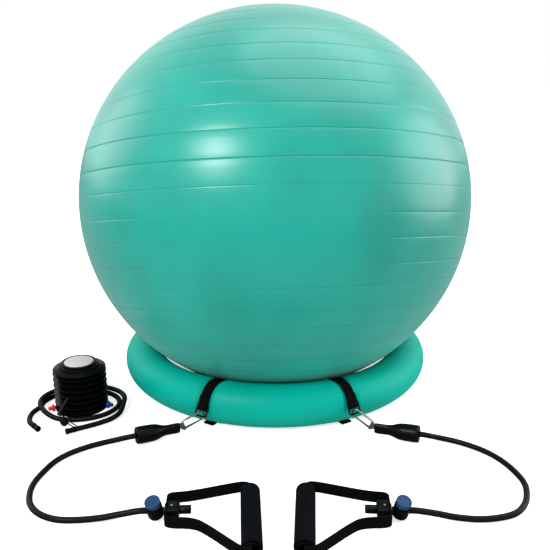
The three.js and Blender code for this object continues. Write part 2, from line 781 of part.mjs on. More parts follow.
// Places along one side's line, worked out from the ring outwards
const lines = {};
for (const side of ['left', 'right']) {
  const strap = strapFrame(side);
  const strapGroup = framed(strap);
  ringStrap(side, strapGroup);
  const hanging = strap.clone().multiply(dRingFrame(side));
  dRing(side, framed(hanging));

  const held = strap.clone().multiply(dRingFrame(side, hookSlack[side]));
  const lowerBar = new THREE.Vector3(0, -dRingReach, 0).applyMatrix4(held);
  const ahead = flatAt(hookHeadings[side]);
  const slope = Math.asin((lowerBar.z - hookEndHeight) / (hookLength - anchorMouthOverlap));
  const along = ahead.clone().multiplyScalar(Math.cos(slope)).addScaledVector(upright, -Math.sin(slope));
  const across = ahead.clone().multiplyScalar(Math.sin(slope)).addScaledVector(upright, Math.cos(slope));
  const hook = new THREE.Matrix4().makeBasis(along, across, along.clone().cross(across));
  hook.setPosition(lowerBar);
  const hookGroup = framed(hook);
  hookBody(side, hookGroup);
  hookGate(side, hookGroup);
  hookPin(side, hookGroup);

  const heading = flatAt(anchorHeadings[side]);
  const mouth = new THREE.Vector3(hookLength - anchorMouthOverlap, 0, 0).applyMatrix4(hook);
  mouth.z -= (anchorMouthOverlap * Math.sin(slope)) / 2;
  const rise = anchorEndHeight - mouth.z;
  const reach = Math.sqrt(anchorLength ** 2 - rise ** 2);
  const end = mouth.clone().addScaledVector(heading, reach).addScaledVector(upright, rise);
  const axis = end.clone().sub(mouth).normalize();
  const level = new THREE.Vector3().crossVectors(axis, upright).normalize();
  const rising = new THREE.Vector3().crossVectors(level, axis);
  const anchor = new THREE.Matrix4().makeBasis(rising, level, axis).setPosition(mouth);
  const inAnchor = anchor.clone().invert().multiply(hook);

  const plugFrom = anchorLength - anchorPlugLength;
  const pastBulb = 2 * anchorBulbHalf;
  const plugRoom = solid(anchorBody(strapThick))
    .intersect(solid(rod(pastBulb, plugFrom - fitGap, anchorLength - strapThick, anchorSides)));
  const plugShape = solid(anchorBody(strapThick + fitGap))
    .intersect(solid(rod(pastBulb, plugFrom, anchorLength - strapThick, anchorSides)));
  const faceFrom = anchorLength - 2 * strapThick;
  const mouthOfPlug = solid(rod(anchorPlugFaceHalf, faceFrom, anchorLength + cutOverrun, anchorSides));
  const plugFace = solid(rod(anchorPlugFaceHalf - fitGap, faceFrom, anchorLength, anchorSides));
  const anchorGroup = framed(anchor);
  const sleeve = solid(anchorBody(0)).subtract(tangRoom(inAnchor)).subtract(plugRoom).subtract(mouthOfPlug);
  piece(`anchor_webbing_${side}`, sleeve, webbing, anchorGroup);
  piece(`anchor_plug_${side}`, plugShape.add(plugFace), blackPlastic, anchorGroup);
  lines[side] = { anchorEnd: end, anchorAxis: axis };
}

// Handles, locks and tubes

const tailSides = 10;
const barrelSides = 14;
const smallSides = 11;
const tailBore = (from, to) => rodAlongX(tubeRadius + tubeClear, from, to, tailSides);
const eyeletOuterFace = -(webbingThick / 2 + fitGap + eyeletThick);
const leanShift = eyeletRadius * Math.tan(radians(lockLean));
const lockStandoff = lockRadius / Math.cos(radians(lockLean)) + leanShift + fitGap - eyeletOuterFace;
const gripFarEnd = gripShift + gripLength / 2 + webbingPastGrip;
const gripNearEnd = gripLength / 2 - gripShift + webbingPastGrip;

// The legs' points as shares: of the handle's reach, and of the way from the base's end to the grip's
const farLegShares = [[0, 0], [0.2, 0.07], [0.4, 0.35], [0.7, 0.88], [0.9, 1.2], [0.975, 1.1]];
const nearLegShares = [
  [0.97, 1], [0.88, 0.97], [0.78, 0.79], [0.63, 0.51], [0.48, 0.24], [0.34, 0.04], [0, 0],
];

const webbingCornerShare = 0.03; // of the reach, cut off where the webbing enters the grip

// The middle line of the handle's webbing, anticlockwise; turn is 1 or -1 for the two hands
function webbingLine(turn) {
  const far = farLegShares.map(([u, v]) => [u * handleReach, baseHalf + v * (gripFarEnd - baseHalf)]);
  const near = nearLegShares.map(([u, v]) => [u * handleReach, -baseHalf - v * (gripNearEnd - baseHalf)]);
  const corner = webbingCornerShare * handleReach;
  const inGrip = [[handleReach, gripFarEnd - corner], [handleReach, corner - gripNearEnd]];
  const line = [...far, ...inGrip, ...near].map(([u, v]) => new THREE.Vector2(u, turn * v));
  return turn === 1 ? line.reverse() : line;
}

// A closed line moved sideways by a distance, with mitred corners
function beside(line, distance) {
  return line.map((point, i) => {
    const before = point.clone().sub(line[(i + line.length - 1) % line.length]).normalize();
    const after = line[(i + 1) % line.length].clone().sub(point).normalize();
    const middle = before.clone().add(after).normalize();
    const across = new THREE.Vector2(middle.y, -middle.x);
    return point.clone().addScaledVector(across, distance / middle.dot(before));
  });
}

function webbingLoop(turn) {
  const line = webbingLine(turn);
  const shape = new THREE.Shape(beside(line, webbingThick / 2));
  shape.holes.push(new THREE.Path(beside(line, -webbingThick / 2)));
  return plate(shape, webbingHeight);
}

function lockPieces(side, frame, barrel) {
  const group = framed(barrel);
  const tail = barrel.clone().invert().multiply(frame);
  const slant = stemRadius * Math.tan(radians(lockLean));
  const slotHalf = tubeRadius + tubeClear + slant;
  const stemBottom = -slotHalf - stemFloor;
  const boreBottom = stemBottom - buttonTravel - fitGap;
  const past = lockTop + cutOverrun;
  const shell = turned([
    [0, -lockFoot],
    [lockFootRadius, -lockFoot],
    [lockRadius - (lockFoot - lockFootRadius) / lockEdge, -lockFoot + lockEdge / 2],
    [lockRadius, -lockFoot + lockEdge],
    [lockRadius, lockTop - softEdge / 2],
    [lockRadius - softEdge / 2, lockTop],
    [0, lockTop],
  ], barrelSides);
  const body = solid(shell)
    .subtract(solid(rod(stemRadius + fitGap, boreBottom, past, barrelSides)))
    .subtract(solid(rod(springCup, springSeat, past, barrelSides)))
    .subtract(solid(tailBore(-lockStandoff - 2 * lockRadius, 2 * lockRadius - lockStandoff), tail));
  piece(`lock_body_${side}`, body, blackPlastic, group);

  const rim = lockTop + buttonTravel + fitGap;
  const top = rim + buttonHeight;
  const ceiling = top - buttonRoof;
  const button = turned([
    [0, stemBottom],
    [stemRadius, stemBottom],
    [stemRadius, ceiling],
    [springCup, ceiling],
    [springCup, rim],
    [buttonRadius - buttonEdge / 2, rim],
    [buttonRadius, rim + buttonEdge / 2],
    [buttonRadius, top - buttonEdge],
    [buttonRadius - buttonEdge, top],
    [0, top],
  ], barrelSides);
  const slot = boxBetween(
    [-stemRadius - cutOverrun, -tubeRadius - tubeClear, -slotHalf],
    [stemRadius + cutOverrun, tubeRadius + tubeClear, slotHalf + buttonTravel],
  );
  piece(`lock_button_${side}`, solid(button).subtract(solid(slot)), blueButton, group);
  const coil = spring(
    springCup - fitGap - springWire / 2, springWire, springSeat + fitGap, ceiling - fitGap, springCurls,
  );
  piece(`lock_spring_${side}`, coil, springSteel, group);
}

function tailPieces(side, group) {
  const inside = webbingThick / 2 + fitGap;
  const eyelet = turnedRing([
    [tubeRadius + tubeClear, eyeletOuterFace],
    [eyeletRadius, eyeletOuterFace],
    [eyeletRadius, -inside],
    [tubeRadius + tubeClear, -inside],
  ], smallSides);
  piece(`strap_eyelet_${side}`, eyelet.rotateY(Math.PI / 2), plated, group);

  const blockEnd = inside + blockLong;
  const bore = tailBore(inside - cutOverrun, blockEnd + cutOverrun);
  const corner = [blockEnd, blockWide / 2, blockHigh / 2];
  const block = boxBetween([inside, -corner[1], -corner[2]], corner);
  const rivetHole = rod(rivetShank + fitGap, tubeRadius, blockHigh, pinSides);
  rivetHole.translate(inside + rivetAlong, 0, 0);
  const holder = solid(block).subtract(solid(bore)).subtract(solid(rivetHole));
  piece(`strap_block_${side}`, holder, blackRubber, group);

  const seat = blockHigh / 2 + fitGap;
  const rivet = turned([
    [0, seat - rivetShankLength], [rivetShank, seat - rivetShankLength], [rivetShank, seat],
    [rivetRadius, seat], [rivetRadius / 2, seat + rivetHead], [0, seat + rivetHead],
  ], pinSides);
  piece(`block_rivet_${side}`, rivet.translate(inside + rivetAlong, 0, 0), springSteel, group);

  const from = blockEnd + fitGap;
  const to = from + capLength;
  const cap = turned([
    [tubeRadius + tubeClear, from],
    [capRadius - softEdge / 2, from],
    [capRadius, from + softEdge / 2],
    [capRadius, to - softEdge],
    [capRadius - softEdge, to],
    [0, to],
    [0, to - capRoof],
    [tubeRadius + tubeClear, to - capRoof],
    [tubeRadius + tubeClear, from],
  ], smallSides);
  piece(`tube_cap_${side}`, cap.rotateY(Math.PI / 2), blackRubber, group);
  return to - capRoof - fitGap;
}

function gripPieces(side, group, turn) {
  const place = new THREE.Matrix4().makeTranslation(handleReach, turn * gripShift, 0);
  const grip = framed(place, group);
  const tube = (outer, inner, long, edge, sidesRound) => turnedRing([
    [inner, -long / 2], [outer - edge, -long / 2], [outer, edge - long / 2],
    [outer, long / 2 - edge], [outer - edge, long / 2], [inner, long / 2],
  ], sidesRound).rotateX(Math.PI / 2);
  const core = tube(gripCoreRadius, gripBore, gripLength, fitGap, barrelSides);
  piece(`grip_core_${side}`, core, blackPlastic, grip);
  const foamBore = gripCoreRadius + fitGap;
  piece(`grip_foam_${side}`, tube(foamRadius, foamBore, foamLength, 2 * fitGap, barrelSides), foam, grip);
}

// The tubes' routes on the floor between anchor and lock, as [x, y, height above lying flat]
const tubeRoutes = {
  left: [
    [-232, -282.5, 1], [-252, -290.5, 0], [-272, -303, 0], [-291, -320, 0], [-303.5, -339, 0],
    [-311, -363, 0], [-315.5, -388, 0], [-314, -412, 0], [-305, -438, 0], [-288, -457, 0],
    [-264, -468, 0], [-238, -469, 0], [-212, -465.5, 0.3], [-188, -462.8, 3.5],
  ],
  right: [
    [242, -277, 1], [262, -284.5, 0], [282, -298, 0], [300, -315.5, 0], [314, -338, 0], [323, -365, 0],
    [326.5, -390, 0], [322, -414, 0], [311, -438, 0], [294, -456, 0], [270, -465, 0], [245, -467.5, 0],
    [219, -464, 0.3], [195.5, -461.2, 3.5],
  ],
};
const floorGap = 0.2; // below a tube that lies on the floor
const tubeLead = 8; // straight tube past the anchor and before the lock

for (const side of ['left', 'right']) {
  const turn = -sides[side].sign;
  const out = flatAt(side === 'left' ? handleHeading : 180 - handleHeading);
  const base = new THREE.Vector3(...gripPlaces[side], foamRadius).addScaledVector(out, -handleReach);
  const frame = frameOf(base, out, upright);
  const group = framed(frame);
  const barrel = frame.clone()
    .multiply(new THREE.Matrix4().makeTranslation(-lockStandoff, 0, 0))
    .multiply(new THREE.Matrix4().makeRotationX(turn * radians(lockRoll)))
    .multiply(new THREE.Matrix4().makeRotationY(-radians(lockLean)));
  lockPieces(side, frame, barrel);
  const tailEnd = tailPieces(side, group);
  const hole = tailBore(-webbingThick - cutOverrun, webbingThick + cutOverrun);
  piece(`handle_strap_${side}`, solid(webbingLoop(turn)).subtract(solid(hole)), webbing, group);
  gripPieces(side, group, turn);

  const { anchorEnd, anchorAxis } = lines[side];
  const onTail = (along) => new THREE.Vector3(along, 0, 0).applyMatrix4(frame);
  const lying = ([px, py, rise]) => new THREE.Vector3(px, py, tubeRadius + floorGap + rise);
  const lockFace = -lockStandoff - lockRadius;
  const route = new THREE.CatmullRomCurve3([
    anchorEnd.clone().addScaledVector(anchorAxis, fitGap),
    anchorEnd.clone().addScaledVector(anchorAxis, tubeLead),
    ...tubeRoutes[side].map(lying),
    onTail(lockFace - tubeLead),
    onTail(lockFace),
    onTail(-lockStandoff),
    onTail(0),
    onTail(tailEnd / 2),
    onTail(tailEnd),
  ]);
  piece(`tube_${side}`, cordAlong(route, tubeRadius, tubeSides, tubeSteps), tubeLatex);
  console.log(`tube_${side} length ${route.getLength().toFixed(1)} mm`);
}

// Foot pump

const pumpSides = 18;
const pumpGroup = framed(new THREE.Matrix4().makeTranslation(...pumpPlace, 0));
const portRoot = pumpBaseRadius + portNeckReach;
const bellowsRadius = pumpBaseRadius + bellowsProud;
const bellowsValley = bellowsRadius - pleatDepth;

function pumpBase() {
  let base = solid(turned([
    [0, 0],
    [pumpBaseRadius - pumpBaseEdge, 0],
    [pumpBaseRadius, pumpBaseEdge],
    [pumpBaseRadius, pumpBaseHeight - pumpBaseEdge],
    [pumpBaseRadius - pumpBaseEdge, pumpBaseHeight],
    [0, pumpBaseHeight],
  ], pumpSides));
  for (const heading of Object.values(portHeadings)) {
    const turn = new THREE.Matrix4().makeRotationZ(radians(heading));
    const from = pumpBaseRadius / 2;
    const neck = rodAlongX(portNeckRadius, from, portRoot, smallSides).translate(0, 0, portHeight);
    const bore = rodAlongX(portBore, from, portRoot + cutOverrun, pinSides).translate(0, 0, portHeight);
    base = base.add(solid(neck, turn)).subtract(solid(bore, turn));
  }
  piece('pump_base', base, blackPlastic, pumpGroup);
}

function port(colour, material) {
  const from = portRoot + fitGap;
  const body = turnedRing([
    [portBore, from],
    [portRadius - softEdge, from],
    [portRadius, from + softEdge],
    [portRadius, from + portCollar - softEdge],
    [portBarbRadius, from + portCollar],
    [portTip, from + portLength],
    [portBore, from + portLength],
  ], smallSides).rotateY(Math.PI / 2).translate(0, 0, portHeight);
  piece(`port_${colour}`, body.rotateZ(radians(portHeadings[colour])), material, pumpGroup);
}

function bellows() {
  const foot = pumpBaseHeight + fitGap;
  const pitch = bellowsHeight / bellowsPleats;
  const line = [[bellowsValley, foot]];
  for (let i = 0; i < bellowsPleats; i += 1) {
    line.push([bellowsRadius, foot + (i + 0.5) * pitch]);
    line.push([bellowsValley, foot + (i + 1) * pitch]);
  }
  const inner = line.map(([r, z]) => [r - bellowsWall, z]).reverse();
  piece('pump_bellows', turnedRing([...line, ...inner], pumpSides), blackPlastic, pumpGroup);
}

const pumpTopFoot = pumpBaseHeight + bellowsHeight + 2 * fitGap;
function pumpTop() {
  const at = (height) => pumpTopFoot + height;
  const padSeat = at(pumpCrownTop - padRecess);
  piece('pump_top', turned([
    [0, at(0)],
    [pumpBaseRadius - pumpEdge, at(0)],
    [pumpBaseRadius, at(pumpRimHeight / 2)],
    [pumpBaseRadius - pumpEdge, at(pumpRimHeight)],
    [pumpStepRadius + pumpEdge, at(pumpShoulderHeight)],
    [pumpStepRadius, at(pumpShoulderHeight + pumpEdge)],
    [pumpStepRadius, at(pumpStepTop - pumpEdge)],
    [pumpStepRadius - pumpEdge, at(pumpStepTop)],
    [pumpCrownRadius, at(pumpStepTop)],
    [pumpCrownRadius, at(pumpCrownTop - pumpEdge)],
    [pumpCrownRadius - pumpEdge, at(pumpCrownTop)],
    [padRadius + fitGap, at(pumpCrownTop)],
    [padRadius + fitGap, padSeat],
    [0, padSeat],
  ], pumpSides), blackPlastic, pumpGroup);
  const under = padSeat + fitGap;
  piece('pump_pad', rod(padRadius, under, under + padThick, pumpSides), padGrey, pumpGroup);
}

pumpBase();
port('red', redPlastic);
port('blue', bluePlastic);
bellows();
pumpTop();
const springFoot = pumpBaseHeight + fitGap;
piece(
  'pump_spring',
  spring(pumpSpringRadius, pumpSpringWire, springFoot, pumpTopFoot - fitGap, pumpSpringCurls),
  springSteel,
  pumpGroup,
);

// Pump hose: a loose coil round the base. Its ends, the nozzle, the cap and the tethers are placed from
// the pump's axis, as [x, y, height]; the hose's heights are above lying on the floor

const hoseLow = hoseRadius + floorGap;
const hoseHigh = hoseLow + 2 * hoseRadius + hoseLayerGap;

// How far along a stretch between two angles a falling angle has come, from 0 to 1
const through = ([from, to], angle) => THREE.MathUtils.smoothstep(-angle, -from, -to);

function coilPoint(angle) {
  const flare = coilFlare * through([coilFlareFrom, coilEnd], angle);
  const lift = through(coilRise, angle) - through(coilFall, angle);
  return new THREE.Vector3(
    pumpPlace[0] + coilShift[0] + (coilHalfWide + flare) * Math.cos(radians(angle)),
    pumpPlace[1] + coilShift[1] + (coilHalfDeep + flare) * Math.sin(radians(angle)),
    hoseLow + (hoseHigh - hoseLow) * lift,
  );
}

const mouthRoute = [[-54, -74, 0.6], [-63, -64, 0.5], [-69, -48, 0], [-69.5, -30, 0]];
const nozzleEndRoute = [
  [67.5, -38, 2.4], [58, -52, 0.6], [44, -64, 0.3], [27, -75.5, 0.5], [12, -84.5, 0.6],
];
const fromPump = ([x, y, z]) => new THREE.Vector3(pumpPlace[0] + x, pumpPlace[1] + y, z);
const layHose = ([x, y, rise]) => fromPump([x, y, hoseLow + rise]);
const hosePoints = mouthRoute.map(layHose);
for (let angle = coilStart; angle >= coilEnd; angle -= coilStep) hosePoints.push(coilPoint(angle));
hosePoints.push(...nozzleEndRoute.map(layHose));
const hoseRoute = new THREE.CatmullRomCurve3(hosePoints);

// Prints the least gap of the hose to itself, measured on points of its middle line
const gapSamples = 300;
const sameStretch = 6; // hose radii along the line, within which points belong to one stretch
function leastGap(curve, radius) {
  const points = curve.getSpacedPoints(gapSamples);
  const step = curve.getLength() / gapSamples;
  const apart = Math.ceil((sameStretch * radius) / step);
  let least = Infinity;
  points.forEach((a, i) => {
    for (let j = i + apart; j < points.length; j += 1) least = Math.min(least, a.distanceTo(points[j]));
  });
  return least - 2 * radius;
}
console.log(`pump_hose length ${hoseRoute.getLength().toFixed(1)} mm`);
console.log(`pump_hose least gap to itself ${leastGap(hoseRoute, hoseRadius).toFixed(2)} mm`);

// A ribbed skin outside and a smooth bore inside, joined at both ends
function ribbedHose(curve) {
  const rings = [];
  const length = curve.getLength();
  const straight = 2 * hoseRadius;
  const pitch = (length - 2 * straight) / hoseRibs;
  rings.push([0, hoseRadius]);
  for (let i = 0; i < hoseRibs; i += 1) {
    rings.push([straight + (i + ribCrestShare) * pitch, hoseRadius]);
    rings.push([straight + (i + ribValleyShare) * pitch, hoseValley]);
  }
  rings.push([length, hoseRadius]);
  for (let i = hoseRibs; i >= 0; i -= 1) rings.push([(length * i) / hoseRibs, hoseBore]);

  const positions = [];
  const index = [];
  for (const [along, radius] of rings) {
    const share = Math.min(1, along / length);
    const place = curve.getPointAt(share);
    const ahead = curve.getTangentAt(share);
    const level = new THREE.Vector3().crossVectors(upright, ahead).normalize();
    const rising = ahead.clone().cross(level);
    for (let k = 0; k < hoseSides; k += 1) {
      const angle = (2 * Math.PI * k) / hoseSides;
      const point = place.clone()
        .addScaledVector(level, radius * Math.cos(angle))
        .addScaledVector(rising, radius * Math.sin(angle));
      positions.push(...point.toArray());
    }
  }
  for (let i = 0; i < rings.length; i += 1) {
    const next = (i + 1) % rings.length;
    for (let k = 0; k < hoseSides; k += 1) {
      const k2 = (k + 1) % hoseSides;
      const [here, there] = [i * hoseSides, next * hoseSides];
      const [a, b, c, d] = [here + k, here + k2, there + k2, there + k];
      index.push(a, b, c, a, c, d);
    }
  }
  const geometry = new THREE.BufferGeometry();
  geometry.setAttribute('position', new THREE.Float32BufferAttribute(positions, 3));
  geometry.setIndex(index);
  return geometry;
}
piece('pump_hose', ribbedHose(hoseRoute), blackRubber);

function coupling(name, share, away) {
  const frame = frameAlong(hoseRoute.getPointAt(share), hoseRoute.getTangentAt(share).multiplyScalar(away));
  const collar = couplingRadius - softEdge;
  piece(name, turnedRing([
    [hoseBore, fitGap],
    [collar - softEdge / 2, fitGap],
    [collar - softEdge / 2, couplingLength - couplingCollarLength],
    [collar, couplingLength - couplingCollarLength],
    [collar, couplingLength],
    [hoseBore, couplingLength],
  ], smallSides), blackPlastic, framed(frame));
}
coupling('hose_coupling_a', 0, -1);
coupling('hose_coupling_b', 1, 1);

// Cone nozzle leaning on the bellows, round cap, and the thin tethers that keep them on the hose

const besideBellows = ([heading, past, height]) => {
  const out = flatAt(heading).multiplyScalar(bellowsRadius + past);
  return fromPump([out.x, out.y, height]);
};
const nozzleFoot = besideBellows(nozzleFootPlace);
const nozzleAim = besideBellows(nozzleAimPlace);
const nozzle = turnedRing([
  [nozzleBore, 0],
  [nozzleRadius, 0],
  [nozzleRadius, nozzleShoulder],
  [nozzleTip, nozzleLength],
  [nozzleBore, nozzleLength],
], smallSides);
piece('nozzle_cone', nozzle, blackRubber, framed(frameAlong(nozzleFoot, nozzleAim.clone().sub(nozzleFoot))));

const capPlace = fromPump([...capFromPump, capDisc + floorGap]);
const capFacing = flatAt(capHeading);
const capBody = turned([
  [0, -capDiscThick / 2],
  [capDisc - capDiscEdge, -capDiscThick / 2],
  [capDisc, capDiscEdge - capDiscThick / 2],
  [capDisc, capDiscThick / 2 - capDiscEdge],
  [capDisc - capDiscEdge, capDiscThick / 2],
  [0, capDiscThick / 2],
], smallSides);
piece('nozzle_cap', capBody, blackRubber, framed(frameAlong(capPlace, capFacing)));

function tether(name, points) {
  const route = new THREE.CatmullRomCurve3(points.map(fromPump));
  piece(name, cordAlong(route, tetherRadius, tetherSides, tetherSteps), blackRubber);
  console.log(`${name} length ${route.getLength().toFixed(1)} mm`);
}
const coneTetherRoute = [
  [-18.9, -54.8, 12.8], [-17.4, -57.4, 14.2], [-12, -63.5, 15.3], [-3, -69, 12.5], [5.5, -73.3, 7.5],
  [12.5, -75.6, 4.9], [14, -78.2, 4.7],
];
const capTetherRoute = [
  [-4.4, -68, 6.4], [0, -71, 4.4], [5.5, -74.6, 3.6], [9.5, -77.3, 4.6], [11.1, -79.9, 4.8],
];
tether('tether_cone', coneTetherRoute);
tether('tether_cap', capTetherRoute);

export default model;
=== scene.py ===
"""Balance ball chair: its ribbed ball, soft floor ring, webbing, tubes, handles and foot pump."""

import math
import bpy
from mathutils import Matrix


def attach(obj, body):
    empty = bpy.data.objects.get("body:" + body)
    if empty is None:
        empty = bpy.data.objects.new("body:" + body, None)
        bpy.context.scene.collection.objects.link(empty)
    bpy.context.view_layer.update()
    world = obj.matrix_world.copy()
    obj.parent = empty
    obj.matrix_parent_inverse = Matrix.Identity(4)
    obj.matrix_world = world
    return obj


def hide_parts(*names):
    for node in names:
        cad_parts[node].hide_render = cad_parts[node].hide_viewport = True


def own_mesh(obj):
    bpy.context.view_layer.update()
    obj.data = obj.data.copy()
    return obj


bl_info = {
    "name": "Balance Ball Chair",
    "version": (1, 0, 0),
    "blender": (4, 5, 0),
    "location": "View3D > Sidebar > Ball Chair",
    "description": "Models an exercise ball in a floor ring, with clipped resistance tubes and a foot pump",
    "category": "Object",
}

import bmesh
import bpy
from mathutils import Matrix, Vector

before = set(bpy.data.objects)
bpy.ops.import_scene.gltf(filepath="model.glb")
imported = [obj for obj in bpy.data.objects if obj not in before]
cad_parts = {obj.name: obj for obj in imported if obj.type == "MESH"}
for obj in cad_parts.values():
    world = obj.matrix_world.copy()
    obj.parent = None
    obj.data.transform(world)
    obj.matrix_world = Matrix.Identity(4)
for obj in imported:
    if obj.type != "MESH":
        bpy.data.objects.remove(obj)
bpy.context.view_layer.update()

MM = 0.001
UP = Vector((0, 0, 1))
SIDES = {"left": -1, "right": 1}

# Places that the solids have too, in millimetres and degrees
BALL_RADIUS = 325.0
BALL_UPRIGHT = 317.0
BALL_CENTRE = 303.0
RIB_TILT = 14
RIB_HEADING = 96
RING_WIDE = 233.162
RING_DEEP = 227.662
RING_TUBE = 33.0
RING_HEIGHT = 32.5
RING_VALVE_RISE = 28
STRAP_PLACE = {"left": -113, "right": -64.9}
STRAP_TWIST = 8
GROOVE_END = 310
LOOP_ANGLE = {"left": 3, "right": 6}
LOOP_REACH = 35.0
D_RING_TILT = 32
D_RING_REACH = 12
HOOK_SLACK = {"left": -2, "right": -7}
HOOK_HEADING = {"left": 199, "right": -29}
HOOK_END_HEIGHT = 11.8
HOOK_LENGTH = 42
GATE_PIVOT = (28.6, -6.2)
ANCHOR_HEADING = {"left": 207, "right": -22}
ANCHOR_LENGTH = 66
ANCHOR_END_HEIGHT = 14
ANCHOR_OVERLAP = 8
GRIP_PLACE = {"left": (-29.6, -455.7), "right": (37.1, -455.2)}
HANDLE_HEADING = {"left": 3, "right": 177}
HANDLE_REACH = 102
GRIP_SHIFT = -21
RIVET_PLACE = 6.4
LOCK_STANDOFF = 13.823
LOCK_ROLL = 18
LOCK_LEAN = 8
BORE = 4.5
PUMP_PLACE = (-311, -166)
PORTS = {"red": 205, "blue": -10}
PORT_HEIGHT = 6.2
FLOOR_GAP = 0.2


# Frames

def rad(degrees):
    return math.radians(degrees)


def flat(degrees):
    return Vector((math.cos(rad(degrees)), math.sin(rad(degrees)), 0))


def upright(degrees, reach=1):
    """A place in the XZ plane, at an angle from X towards Z"""
    return Vector((reach * math.cos(rad(degrees)), 0, reach * math.sin(rad(degrees))))


def frame_from(x, y, z, place):
    matrix = Matrix((x, y, z)).transposed().to_4x4()
    matrix.translation = place
    return matrix


def frame_of(place, along):
    """A frame whose X runs in a direction, with Z as upright as it can be"""
    x = along.normalized()
    z = x.cross(UP).cross(x).normalized()
    return frame_from(x, z.cross(x), z, place)


def frame_along(place, direction):
    """A frame whose Z points in a direction"""
    matrix = UP.rotation_difference(direction).to_matrix().to_4x4()
    matrix.translation = place
    return matrix


def turn(degrees, axis):
    return Matrix.Rotation(rad(degrees), 4, axis)


def shift(x=0, y=0, z=0):
    return Matrix.Translation((x, y, z))


LAY_FLAT = turn(-90, "X")
ALONG_X = turn(90, "Y")


def ring_frame(degrees):
    """A frame on the ring's centre line: X points out of the ring, Z up"""
    c, s = math.cos(rad(degrees)), math.sin(rad(degrees))
    place = Vector((RING_WIDE * c, RING_DEEP * s, RING_HEIGHT))
    return frame_of(place, Vector((RING_DEEP * c, RING_WIDE * s, 0)))


def strap_frame(side):
    """The frame of one band: the ring's own, turned so that the band slants"""
    return ring_frame(STRAP_PLACE[side]) @ turn(SIDES[side] * STRAP_TWIST, "Z")


def d_ring_frame(side, slack=0):
    """In the band's frame: X lies along the band's width, Y from the lower bar to the upper one"""
    tilt = rad(D_RING_TILT - slack)
    across, up = Vector((0, 1, 0)), Vector((-math.sin(tilt), 0, math.cos(tilt)))
    return frame_from(across, up, across.cross(up), upright(LOOP_ANGLE[side], LOOP_REACH))


def side_frames(side):
    """The frames of one side's D-ring, hook and anchor, and the anchor's far end and axis"""
    strap = strap_frame(side)
    lower_bar = strap @ d_ring_frame(side, HOOK_SLACK[side]) @ Vector((0, -D_RING_REACH, 0))
    slope = math.asin((lower_bar.z - HOOK_END_HEIGHT) / (HOOK_LENGTH - ANCHOR_OVERLAP))
    ahead, heading = flat(HOOK_HEADING[side]), flat(ANCHOR_HEADING[side])
    along = ahead * math.cos(slope) - UP * math.sin(slope)
    rising = ahead * math.sin(slope) + UP * math.cos(slope)
    hook = frame_from(along, rising, along.cross(rising), lower_bar)
    mouth = hook @ Vector((HOOK_LENGTH - ANCHOR_OVERLAP, 0, 0))
    mouth.z -= ANCHOR_OVERLAP * math.sin(slope) / 2
    climb = ANCHOR_END_HEIGHT - mouth.z
    end = mouth + heading * math.sqrt(ANCHOR_LENGTH ** 2 - climb ** 2) + UP * climb
    axis = (end - mouth).normalized()
    level = axis.cross(UP).normalized()
    anchor = frame_from(level.cross(axis), level, axis, mouth)
    return {"d_ring": strap @ d_ring_frame(side), "hook": hook, "anchor": anchor, "end": end, "axis": axis}


def tail_frame(side):
    """The frame of one handle's webbing base: X points to the grip, Z up"""
    out = flat(HANDLE_HEADING[side])
    return frame_of(Vector((*GRIP_PLACE[side], sizes().grip_diameter / MM / 2)) - out * HANDLE_REACH, out)


def lock_frame(side):
    roll = turn(-SIDES[side] * LOCK_ROLL, "X")
    return tail_frame(side) @ shift(-LOCK_STANDOFF) @ roll @ turn(-LOCK_LEAN, "Y")


# Sizes, colours and shares

def sizes():
    return bpy.context.scene.ball_chair_sizes


def colour_of(name):
    return tuple(getattr(bpy.context.scene.ball_chair_colours, name))


def smooth(part):
    """Eases a share from 0 to 1, and stays between them"""
    part = max(0, min(1, part))
    return part * part * (3 - 2 * part)


def linear(code):
    """A colour written as six hex digits, as Blender stores it"""
    parts = [int(code[i:i + 2], 16) / 255 for i in (0, 2, 4)]
    return tuple(p / 12.92 if p <= 0.04045 else ((p + 0.055) / 1.055) ** 2.4 for p in parts)


def toned(colour, share):
    """A colour made darker, or lighter with a share above 1"""
    return tuple(c * share for c in colour)


# Materials

class Value:
    """A socket of a finish; sums on it add Math nodes"""

    def __init__(self, finish, socket):
        self.finish, self.socket = finish, socket

    def math(self, operation, *values):
        return self.finish.add("ShaderNodeMath", {"operation": operation}, dict(enumerate(values)))

    def __add__(self, other):
        return self.math("ADD", self, other)

    def __sub__(self, other):
        return self.math("SUBTRACT", self, other)

    def __rsub__(self, other):
        return self.math("SUBTRACT", other, self)

    def __mul__(self, other):
        return self.math("MULTIPLY", self, other)

    __radd__, __rmul__ = __add__, __mul__

    def sine(self):
        return self.math("SINE", self)

    def size(self):
        return self.math("ABSOLUTE", self)

    def between(self, low, high):
        """0 below low, 1 above high, and smooth between them"""
        values = {"Value": self, "From Min": low, "From Max": high}
        return self.finish.add("ShaderNodeMapRange", {"interpolation_type": "SMOOTHSTEP"}, values)


